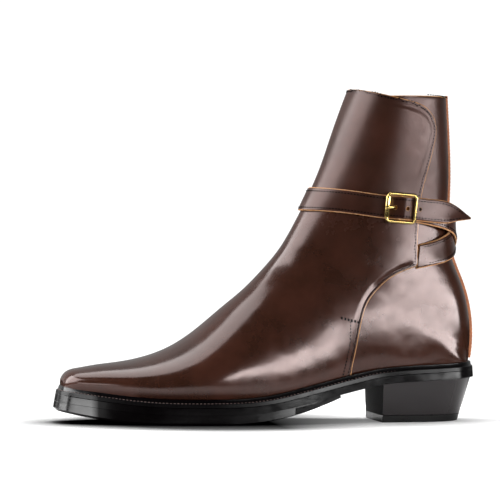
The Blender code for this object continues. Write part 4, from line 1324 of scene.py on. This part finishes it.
class BOOT_OT_quarters(bpy.types.Operator):
    """The boot's wall with its lining, and the insole"""

    bl_idname = "boot.quarters"
    bl_label = "Quarters and lining"

    def execute(self, context):
        look = finishes()
        wall = Quarters()
        marks = {"edge_mm": wall.edge_mm}
        mesh = shell_mesh("quarters", wall.outer, wall.inner, 1, 2, marks, wall.open_rim)
        for face in mesh.polygons:
            if face.material_index == 1 and face.center.z < FOOT_RIM_BELOW * MM:
                face.material_index = 0
        place("quarters", mesh, [look["upper"], look["pale_cut"], look["lining"]], "upper", "upper_leather")

        def inside(x):
            return -(WALL + 2 * GAP) - FOOT_ROOM * ramp(np.asarray(x), 104, 118)

        levels = [
            (inside, lambda x, y: (x, y, welt_line(x) + GAP)),
            (inside, lambda x, y: (x, y, welt_line(x) + GAP + INSOLE_THICK)),
        ]
        place(
            "insole_sock",
            layer("insole_sock", levels, count=90),
            [look["lining"]],
            "insole",
            "insole_leather",
        )
        return {"FINISHED"}


class BOOT_OT_front(bpy.types.Operator):
    """Vamp, shaft front and flap in one piece of leather with a raw edge"""

    bl_idname = "boot.front"
    bl_label = "Front panel"

    def execute(self, context):
        look = finishes()
        panel = panel_form()
        mesh = shell_mesh("front_leather", panel.outer, panel.inner, 1, 1, {"edge_mm": panel.edge_mm})
        place("front_leather", mesh, [look["upper"], look["cut"]], "front_panel", "upper_leather")
        return {"FINISHED"}


class BOOT_OT_piping(bpy.types.Operator):
    """Raised tan strip down the back seam, notched by its stitches"""

    bl_idname = "boot.piping"
    bl_label = "Back piping"

    def execute(self, context):
        t = np.linspace(BACK_CLOSES, COLLAR, 400)
        line = last_surface(t, 1.0, 0.0)
        travelled = np.concatenate([[0.0], np.cumsum(np.linalg.norm(np.diff(line, axis=0), axis=1))])
        t = np.interp(np.arange(0, travelled[-1], 0.5), travelled, t)
        at = np.interp(t, np.linspace(BACK_CLOSES, COLLAR, 400), travelled)
        notch = 0.22 * (0.5 - 0.5 * np.cos(2 * math.pi * at / 2.5)) ** 3
        proud = PIPING_PROUD + 0.5 - notch
        half = PIPING_WIDTH / 2 + 0.4
        section = [
            (-0.5, 0.0), (-1.0, 0.0), (-1.0, 0.75), (-0.8, 0.95), (0.0, 1.02), (0.8, 0.95), (1.0, 0.75)
        ]
        section += [(1.0, 0.0), (0.5, 0.0)]
        rings = []
        for across, share in section:
            spots = last_surface(t, 1.0, GAP + share * proud)
            spots[:, 1] = across * half
            rings.append(spots)
        rings = np.stack(rings, axis=1)
        mesh = loft_mesh("back_strip", rings, sharp_angle=60)
        place("back_strip", mesh, [finishes()["piping"]], "back_piping", "piping_leather")
        return {"FINISHED"}


def strip_round(name, profile, x_from, x_to, count):
    """A strip with the profile (reach, height) round the toe, or round the heel from x_from."""
    halves = []
    for side in ("lat", "med"):
        edges = [plan_edge(side, reach, x_from, x_to, count) for reach, _ in profile]
        stations = range(len(edges[0]))
        halves.append(
            [[under_welt(*edge[i], -height) for edge, (_, height) in zip(edges, profile)] for i in stations]
        )
    lateral, medial = halves
    if x_from is None:
        rings = lateral[::-1] + medial[1:]
    else:
        rings = lateral + medial[::-1]
    return loft_mesh(name, rings, sharp_angle=32)


def welt_profile(outer):
    """The welt's section: shelf with a rounded edge, and its lip turned up against the upper."""
    front, seat = PANEL_TOP + 0.15, 0.15
    foot = blended(front, seat)
    top_in = blended(front + 0.9, seat + 1.6)
    top_out = blended(front + 1.7, seat + 2.4)
    foot_out = blended(front + 2.3, seat + 3.0)
    return [
        (-5.0, -WELT_THICK),
        (lambda x: outer(x) - 0.25, -WELT_THICK),
        (outer, 0.25 - WELT_THICK),
        (outer, -0.3),
        (lambda x: outer(x) - 0.3, 0.0),
        (foot_out, 0.05),
        (lambda x: foot_out(x) - 0.35, 0.5),
        (top_out, LIP_HEIGHT - 0.3),
        (lambda x: top_out(x) - 0.3, LIP_HEIGHT),
        (top_in, LIP_HEIGHT),
        (foot, 0.2),
        (foot, -0.6),
        (-5.0, -0.6),
    ]


class BOOT_OT_sole(bpy.types.Operator):
    """Welt with its lip, heel rand, midsole and outsole"""

    bl_idname = "boot.sole"
    bl_label = "Sole"

    def execute(self, context):
        look = finishes()
        edge = blended(WELT_REACH, SEAT_REACH)
        welt = strip_round("welt_strip", welt_profile(edge), None, WELT_ENDS_AT, 110)
        place("welt_strip", welt, [look["shelf"]], "welt", "sole_leather")
        rand = strip_round("seat_rand", welt_profile(edge), WELT_ENDS_AT + 0.25, None, 70)
        place("seat_rand", rand, [look["shelf"]], "heel_rand", "sole_leather")

        def waist(x):
            return ramp(np.asarray(x), -30, 44) * (1 - ramp(np.asarray(x), 66, 80))

        def bevel(x):
            return EDGE_BEVEL * (1 - 0.9 * ramp(np.asarray(x), -60, 20))

        mid_top, mid_bottom = WELT_THICK + 0.06, WELT_THICK + GAP + MIDSOLE_THICK
        middle = [
            (lambda x: edge(x) - 0.08 - 0.6 * waist(x), lambda x, y: under_welt(x, y, mid_bottom)),
            (lambda x: edge(x) - 0.6 * waist(x), lambda x, y: under_welt(x, y, mid_bottom - 0.15)),
            (lambda x: edge(x) - 0.3 * waist(x), lambda x, y: under_welt(x, y, mid_top + 0.15)),
            (lambda x: edge(x) - 0.08 - 0.3 * waist(x), lambda x, y: under_welt(x, y, mid_top)),
        ]
        place(
            "middle_sole", layer("middle_sole", middle, count=120), [look["sole"]], "midsole", "sole_leather"
        )
        outer_top = mid_bottom + 0.06
        outer = [
            (lambda x: edge(x) - 0.6 - 0.7 * bevel(x) - 0.8 * waist(x), at_tread),
            (lambda x: edge(x) - 0.5 * bevel(x) - 0.8 * waist(x), lambda x, y: at_tread(x, y, 0.2)),
            (lambda x: edge(x) - 0.8 * waist(x), lambda x, y: at_tread(x, y, 0.3 + bevel(x))),
            (lambda x: edge(x) - 0.05 - 0.6 * waist(x), lambda x, y: under_welt(x, y, outer_top)),
        ]
        mesh = layer("outer_sole", outer, x_to=SKIVE_END - 1, count=120)
        place("outer_sole", mesh, [look["sole"]], "outsole", "sole_leather")
        return {"FINISHED"}


class BOOT_OT_heel(bpy.types.Operator):
    """Stacked heel and its rubber top piece"""

    bl_idname = "boot.heel"
    bl_label = "Heel"

    def execute(self, context):
        look = finishes()
        inset = SEAT_REACH - 0.15
        stack_top = WELT_THICK + MIDSOLE_THICK + 2 * GAP + 0.06
        stack = [
            (inset - 0.3, heel_point(lambda x: TOP_PIECE + 0.1)),
            (inset, heel_point(lambda x: TOP_PIECE + 0.5)),
            (inset, heel_point(lambda x: 0.5 * HEEL_TOP_Z)),
            (inset, heel_point(lambda x: welt_line(x) - stack_top - 0.1)),
            (inset - 0.08, heel_point(lambda x: welt_line(x) - stack_top + 0.1)),
        ]
        mesh = layer("heel_block", stack, x_from=BREAST_X, count=80)
        # Faces of the breast take the near-black finish: painted shade.
        for face in mesh.polygons:
            face.material_index = int(face.normal.x < -0.9)
        place("heel_block", mesh, [look["heel"], look["breast"]], "heel_stack", "sole_leather")
        inset -= 0.05
        piece = [
            (inset - 0.4, heel_point(lambda x: 0.0)),
            (inset, heel_point(lambda x: 0.4)),
            (inset, heel_point(lambda x: TOP_PIECE - 0.2)),
            (inset - 0.2, heel_point(lambda x: TOP_PIECE)),
        ]
        mesh = layer("heel_lift", piece, x_from=BREAST_X, count=80)
        place("heel_lift", mesh, [look["rubber"]], "heel_top_piece", "heel_rubber")
        return {"FINISHED"}


def fold_line(bar_lift, radius):
    """The chape's fold round the centre bar, as (along, lift) in the buckle's axes."""
    fold = [(7.2, 2.9), (5.6, 3.9), (4.0, 4.8), (2.4, bar_lift + radius - 0.22)]
    for step in range(19):
        turn = math.radians(90 + 10 * step)
        fold.append((radius * math.cos(turn), bar_lift + radius * math.sin(turn)))
    return fold + [(1.2, bar_lift - radius), (2.4, bar_lift - radius)]


class BOOT_OT_straps(bpy.types.Operator):
    """Long strap with its punched holes, and the short strap folded round the buckle's bar"""

    bl_idname = "boot.straps"
    bl_label = "Straps"

    def execute(self, context):
        look = finishes()
        ankle, axes = ankle_form()
        billet = Strap(ankle, BILLET, STRAP_THICK, 1.0, 0.3)
        SHARED["billet"] = billet
        rings = billet.rings()
        mesh = loft_mesh("long_strap", rings, STRAP_SLOTS, marks={"edge_mm": billet.edge_mm}, sharp_angle=50)
        piece = place("long_strap", mesh, [look["strap"], look["cut"]], "billet_strap", "strap_leather")
        for along in HOLES:
            ends = [in_frame(axes, along, 0.0, proud) for proud in (1.5, 12.0)]
            punch(piece, wire_mesh("punch", ends, PUNCHED_HOLE, sides=24))
        chape = Strap(ankle, CHAPE, CHAPE_THICK, 1.0, 0.3)
        SHARED["chape"] = chape
        rings = chape.rings()
        mesh = loft_mesh("short_strap", rings, STRAP_SLOTS, marks={"edge_mm": chape.edge_mm}, sharp_angle=50)
        bar_lift = BUCKLE_LIFT - BAR_DROP
        fold = np.array(fold_line(bar_lift, BAR_RADIUS + 0.1))
        along = np.gradient(fold, axis=0)
        out = np.stack([-along[:, 1], along[:, 0]], axis=-1)
        out /= -np.linalg.norm(out, axis=1, keepdims=True)
        rings = []
        for (at, lift), (nx, nz) in zip(fold, out):
            ring = []
            for across, proud in strap_profile(HALF, HALF, CHAPE_THICK):
                ring.append(in_frame(axes, at + nx * proud, across, lift + nz * proud))
            rings.append(ring)
        loop = loft_mesh("strap_loop", rings, STRAP_SLOTS, sharp_angle=50)
        joined = join_meshes("short_strap", [mesh, loop])
        piece = place("short_strap", joined, [look["strap"], look["cut"]], "chape_strap", "strap_leather")
        return {"FINISHED"}


class BOOT_OT_buckle(bpy.types.Operator):
    """Brass frame with its dropped bar, roller on the front bar, and prong"""

    bl_idname = "boot.buckle"
    bl_label = "Buckle"

    def execute(self, context):
        brass = [finishes()["brass"]]
        _, axes = ankle_form()
        out = np.array(axes[3])
        half_length, half_height = BUCKLE_LENGTH / 2 - BUCKLE_CORNER, BUCKLE_HEIGHT / 2 - BUCKLE_CORNER
        points = []
        for corner, (a, b) in enumerate(((1, 1), (-1, 1), (-1, -1), (1, -1))):
            for step in range(9):
                turn = math.radians(90 * corner + 90 * step / 8)
                along = a * half_length + BUCKLE_CORNER * math.cos(turn)
                high = b * half_height + BUCKLE_CORNER * math.sin(turn)
                points.append(in_frame(axes, along, high, BUCKLE_LIFT))
        frame_mesh = wire_mesh("buckle_wire", points, BUCKLE_WIRE + WIRE_PLATING, sides=20, cyclic=True)
        half, bar_lift = BUCKLE_HEIGHT / 2, BUCKLE_LIFT - BAR_DROP
        staple = [
            (half, BUCKLE_LIFT),
            (half - 0.2, bar_lift + 0.5),
            (half - 0.9, bar_lift),
            (0.9 - half, bar_lift),
            (0.2 - half, bar_lift + 0.5),
            (-half, BUCKLE_LIFT),
        ]
        bar = wire_mesh("bar", [in_frame(axes, 0.0, high, proud) for high, proud in staple], BAR_RADIUS)
        place("brass_frame", join_meshes("brass_frame", [frame_mesh, bar]), brass, "buckle_frame", "brass")

        front = -BUCKLE_LENGTH / 2
        half = ROLLER_LENGTH / 2
        stops = [(-half, 0.86), (-half + 0.12, 0.97), (-half + 0.35, 1.0), (half - 0.35, 1.0)]
        stops += [(half - 0.12, 0.97), (half, 0.86)]
        ends = [in_frame(axes, front, high, BUCKLE_LIFT) for high, _ in stops]
        outside = wire_mesh("roller", ends, [ROLLER_OUTER * share for _, share in stops], sides=28)
        place("brass_roller", outside, brass, "buckle_roller", "brass")

        shank = np.array(PRONG_LINE)
        smooth = smooth_line(shank, 0.3)
        radii = np.interp(np.linspace(0, 1, len(smooth)), (0, 0.25, 0.9, 1), (0.95, 1.15, 1.05, 0.8))
        spots = [in_frame(axes, along, 0.0, proud) for along, proud in smooth]
        prong = wire_mesh(
            "prong",
            spots,
            radii * (PRONG_RADIUS + PRONG_SWELL),
            sides=18,
            flatten=0.75,
            flat_way=out,
        )
        ring = BAR_RADIUS + 0.15 + PRONG_EYE_WIRE
        eye = [
            in_frame(axes, ring * math.cos(turn), 0.0, bar_lift + ring * math.sin(turn))
            for turn in np.linspace(0, 2 * math.pi, 25)[:-1]
        ]
        eye_mesh = wire_mesh("prong_eye", eye, PRONG_EYE_WIRE, sides=14, cyclic=True)
        place("brass_prong", join_meshes("brass_prong", [prong, eye_mesh]), brass, "buckle_prong", "brass")
        return {"FINISHED"}


class BOOT_OT_stitches(bpy.types.Operator):
    """Every row of stitching: panel, collar, straps and welt"""

    bl_idname = "boot.stitches"
    bl_label = "Stitching"

    def execute(self, context):
        look = finishes()
        sizes = context.scene.boot_stitches
        panel = panel_form()
        tree = panel_tree()
        row = beside_edge(panel.edge, PANEL_STITCH_IN, tree, 0.12)
        lines = [row]
        for side in (-1, 1):
            lines.append(seen_from_side(tree, smooth_line(SECOND_ROW, 0.6), side, 0.12))
            for shift in (-0.55, 0.0, 0.55):
                bar = [(x, z + shift) for x, z in evenly(TACK_BAR, 0.5)]
                lines.append(seen_from_side(tree, bar, side, 0.2))
        stitch_rows("panel_stitches", lines, sizes, look["thread"], "upper_leather")
        collar = []
        for side in (-1, 1):
            s = side * np.linspace(0.72, 0.985, 90)
            spots = last_surface(25.93, s, 0.15)
            collar.append(evenly(spots, 0.6))
        stitch_rows("collar_stitches", collar, sizes, look["thread"], "upper_leather")
        billet, chape = SHARED["billet"], SHARED["chape"]
        last = len(BILLET) - 1
        straps = [billet.row(STRAP_STITCH_IN, high, 0.3, last - 1.3) for high in (True, False)]
        straps += [chape.row(STRAP_STITCH_IN, high, 0.3, len(CHAPE) - 2) for high in (True, False)]
        stitch_rows("strap_stitches", straps, sizes, look["thread"], "strap_leather")
        reach = blended(WELT_REACH - 1.1, SEAT_REACH - 1.1)
        sides = {side: plan_edge(side, reach, None, WELT_ENDS_AT - 2, 90) for side in ("lat", "med")}
        outline = np.concatenate([sides["lat"][::-1], sides["med"][1:]])
        welt = [under_welt(x, y, -0.12) for x, y in outline]
        stitch_rows(
            "welt_stitches",
            [evenly(welt, 0.8)],
            context.scene.boot_welt_stitches,
            look["welt_thread"],
            "sole_leather",
        )
        return {"FINISHED"}


def beside_edge(edge, distance, tree, lift):
    """A line laid on a surface, at a distance inside the panel's edge."""
    along = np.gradient(edge, axis=0)
    line = []
    for spot, way in zip(edge, along):
        _, normal, _, _ = tree.find_nearest(Vector(spot))
        inwards = Vector(way).cross(normal).normalized()
        near, facing, _, _ = tree.find_nearest(Vector(spot) + distance * inwards)
        line.append(np.array(near + facing * lift))
    return np.array(line)


def softbox(name, spot, aim, size, radiance, share, tint="#ffffff"):
    """A rectangular light that looks from a spot at an aim point. Places are table millimetres."""
    light = bpy.data.lights.new(name, "AREA")
    light.shape = "RECTANGLE"
    light.size, light.size_y = (side * MM for side in size)
    light.energy = radiance * share * math.pi * light.size * light.size_y
    light.color = from_hex(tint)[:3]
    holder = bpy.data.objects.new(name, light)
    holder.location = built(spot)
    holder.rotation_euler = Vector(np.subtract(aim, spot)).to_track_quat("-Z", "Y").to_euler()
    bpy.context.scene.collection.objects.link(holder)


class BOOT_OT_stage(bpy.types.Operator):
    """Pale floor, white surroundings behind, softboxes and the camera"""

    bl_idname = "boot.stage"
    bl_label = "Stage"

    def execute(self, context):
        scene = context.scene
        scene.view_settings.view_transform = "Standard"
        self.floor()
        self.surroundings()
        share = scene.boot_stage.soft_light
        for box in SOFTBOXES:
            softbox(box.name, box.spot, box.aim, box.size, box.radiance, share)
        camera = bpy.data.cameras.new("Camera")
        camera.sensor_width = 36.0
        camera.lens = 229.07
        camera.shift_y = -0.028
        camera.clip_end = 50.0
        holder = bpy.data.objects.new("Camera", camera)
        turn = math.radians(CAMERA_TURN)
        spot = (
            CAMERA_PIVOT_X - CAMERA_DISTANCE * math.sin(turn),
            -CAMERA_DISTANCE * math.cos(turn),
            CAMERA_HEIGHT,
        )
        holder.location = built(spot)
        holder.rotation_euler = (math.pi / 2, 0, -turn)
        scene.collection.objects.link(holder)
        scene.camera = holder
        return {"FINISHED"}

    def floor(self):
        """White board under the boot. It blends into plain white away from it, for the camera only. Near the
        boot its colour and its glow carry a painted contact shadow.
        """
        half = 12.0
        mesh = bpy.data.meshes.new("studio_floor")
        corners = [(-half, -half, 0.0), (half, -half, 0.0), (half, half, 0.0), (-half, half, 0.0)]
        mesh.from_pydata(corners, [], [(0, 1, 2, 3)])
        made, tree, out = finish("Studio floor, white gloss board")
        place_on = node(tree, "ShaderNodeTexCoord").outputs["Object"]
        narrowed = node(
            tree, "ShaderNodeMapping", {"Vector": place_on, "Location": (0.02, 0, 0), "Scale": (0.7, 1, 1)}
        )
        reach = node(tree, "ShaderNodeVectorMath", {0: narrowed.outputs[0]}, operation="LENGTH")
        board = node(
            tree, "ShaderNodeMapRange", {0: reach.outputs["Value"], 1: 0.2, 2: 0.28, 3: 0.95, 4: 0.02}
        )
        # Painted contact shadow: occlusion to the fourth power, times an ellipse of painted shade under the
        # forepart, fading out towards the heel.
        near = node(tree, "ShaderNodeAmbientOcclusion", {"Distance": 0.06}, samples=8)
        occlusion_shade = node(tree, "ShaderNodeMath", {0: near.outputs["AO"], 1: 4.0}, operation="POWER")
        under = node(
            tree, "ShaderNodeMapping", {"Vector": place_on, "Location": (0.25, 0, 0), "Scale": (9.5, 8.7, 1)}
        )
        shade_ellipse_reach = node(tree, "ShaderNodeVectorMath", {0: under.outputs[0]}, operation="LENGTH")
        ellipse_shade = node(
            tree, "ShaderNodeMapRange", {0: shade_ellipse_reach.outputs["Value"], 1: 0.8, 2: 1.2, 3: 0.15, 4: 1.0}
        )
        deep = node(
            tree, "ShaderNodeMath", {0: occlusion_shade.outputs[0], 1: ellipse_shade.outputs[0]}, operation="MULTIPLY"
        )
        along = node(tree, "ShaderNodeSeparateXYZ", {"Vector": place_on})
        shade_fade = node(tree, "ShaderNodeMapRange", {0: along.outputs[0], 1: 0.0, 2: 0.07, 3: 0.0, 4: 0.9})
        painted_contact_shadow = node(tree, "ShaderNodeMapRange", {0: shade_fade.outputs[0], 1: 0.0, 2: 1.0, 4: 1.0})
        tree.links.new(deep.outputs[0], painted_contact_shadow.inputs[3])
        shadowed_board = node(tree, "ShaderNodeMath", {0: board.outputs[0], 1: painted_contact_shadow.outputs[0]}, operation="MULTIPLY")
        shader = node(
            tree,
            "ShaderNodeBsdfPrincipled",
            {"Base Color": shadowed_board.outputs[0], "Roughness": 0.9, "Specular IOR Level": 0.0},
        )
        # The camera-only glow is dimmed by the same painted contact shadow.
        away = node(tree, "ShaderNodeMapRange", {0: reach.outputs["Value"], 1: 0.1, 2: 0.2, 3: 0.2, 4: 1.2})
        shadowed_glow = node(
            tree, "ShaderNodeMath", {0: away.outputs[0], 1: painted_contact_shadow.outputs[0]}, operation="MULTIPLY"
        )
        seen = node(tree, "ShaderNodeLightPath")
        strength = node(
            tree,
            "ShaderNodeMath",
            {0: shadowed_glow.outputs[0], 1: seen.outputs["Is Camera Ray"]},
            operation="MULTIPLY",
        )
        glow = node(
            tree, "ShaderNodeEmission", {"Color": from_hex("#ffffff"), "Strength": strength.outputs[0]}
        )
        both = node(tree, "ShaderNodeAddShader", {0: shader.outputs[0], 1: glow.outputs[0]})
        tree.links.new(both.outputs[0], out.inputs[0])
        mesh.materials.append(made)
        floor = bpy.data.objects.new("studio_floor", mesh)
        bpy.context.scene.collection.objects.link(floor)

    def surroundings(self):
        """White to the camera. All else meets a dim room that is lighter behind the boot."""
        world = bpy.data.worlds.new("Studio")
        world.use_nodes = True
        tree = world.node_tree
        tree.nodes.clear()
        seen = node(tree, "ShaderNodeLightPath").outputs["Is Camera Ray"]
        way = node(tree, "ShaderNodeTexCoord").outputs["Generated"]
        along = node(tree, "ShaderNodeSeparateXYZ", {"Vector": way})
        behind = node(
            tree, "ShaderNodeMapRange", {0: along.outputs[1], 1: 0.3, 2: 0.8, 3: ROOM_LIGHT, 4: BACK_LIGHT}
        )
        bright = node(tree, "ShaderNodeMapRange", {0: seen, 3: behind.outputs[0], 4: 1.1})
        sky = node(
            tree, "ShaderNodeBackground", {"Color": from_hex("#ffffff"), "Strength": bright.outputs[0]}
        )
        out = node(tree, "ShaderNodeOutputWorld")
        tree.links.new(sky.outputs[0], out.inputs[0])
        bpy.context.scene.world = world


class BOOT_PT_sidebar(bpy.types.Panel):
    """Sizes and steps of the boot"""

    bl_idname = "BOOT_PT_sidebar"
    bl_label = "Jodhpur boot"
    bl_space_type = "VIEW_3D"
    bl_region_type = "UI"
    bl_category = "Boot"

    def draw(self, context):
        scene = context.scene
        for group in (scene.boot_leather, scene.boot_stitches, scene.boot_stage):
            for name in group.bl_rna.properties.keys():
                if name not in ("rna_type", "name"):
                    self.layout.prop(group, name)
        for step in STEPS:
            self.layout.operator(step.bl_idname)


GROUPS = (BootLeather, BootStitches, BootStage)
STEPS = (
    BOOT_OT_stage,
    BOOT_OT_quarters,
    BOOT_OT_front,
    BOOT_OT_piping,
    BOOT_OT_sole,
    BOOT_OT_heel,
    BOOT_OT_straps,
    BOOT_OT_buckle,
    BOOT_OT_stitches,
)


def register():
    for group in GROUPS + STEPS + (BOOT_PT_sidebar,):
        bpy.utils.register_class(group)
    bpy.types.Scene.boot_leather = bpy.props.PointerProperty(type=BootLeather)
    bpy.types.Scene.boot_stitches = bpy.props.PointerProperty(type=BootStitches)
    bpy.types.Scene.boot_welt_stitches = bpy.props.PointerProperty(type=BootStitches)
    bpy.types.Scene.boot_stage = bpy.props.PointerProperty(type=BootStage)


def unregister():
    for name in ("boot_leather", "boot_stitches", "boot_welt_stitches", "boot_stage"):
        delattr(bpy.types.Scene, name)
    for group in reversed(GROUPS + STEPS + (BOOT_PT_sidebar,)):
        bpy.utils.unregister_class(group)


def main():
    register()
    welt = bpy.context.scene.boot_welt_stitches
    welt.pitch, welt.length, welt.width, welt.height = 0.0026, 0.0021, 0.0009, 0.0007
    for step in STEPS:
        group, name = step.bl_idname.split(".")
        getattr(getattr(bpy.ops, group), name)()


if __name__ == "__main__":
    main()
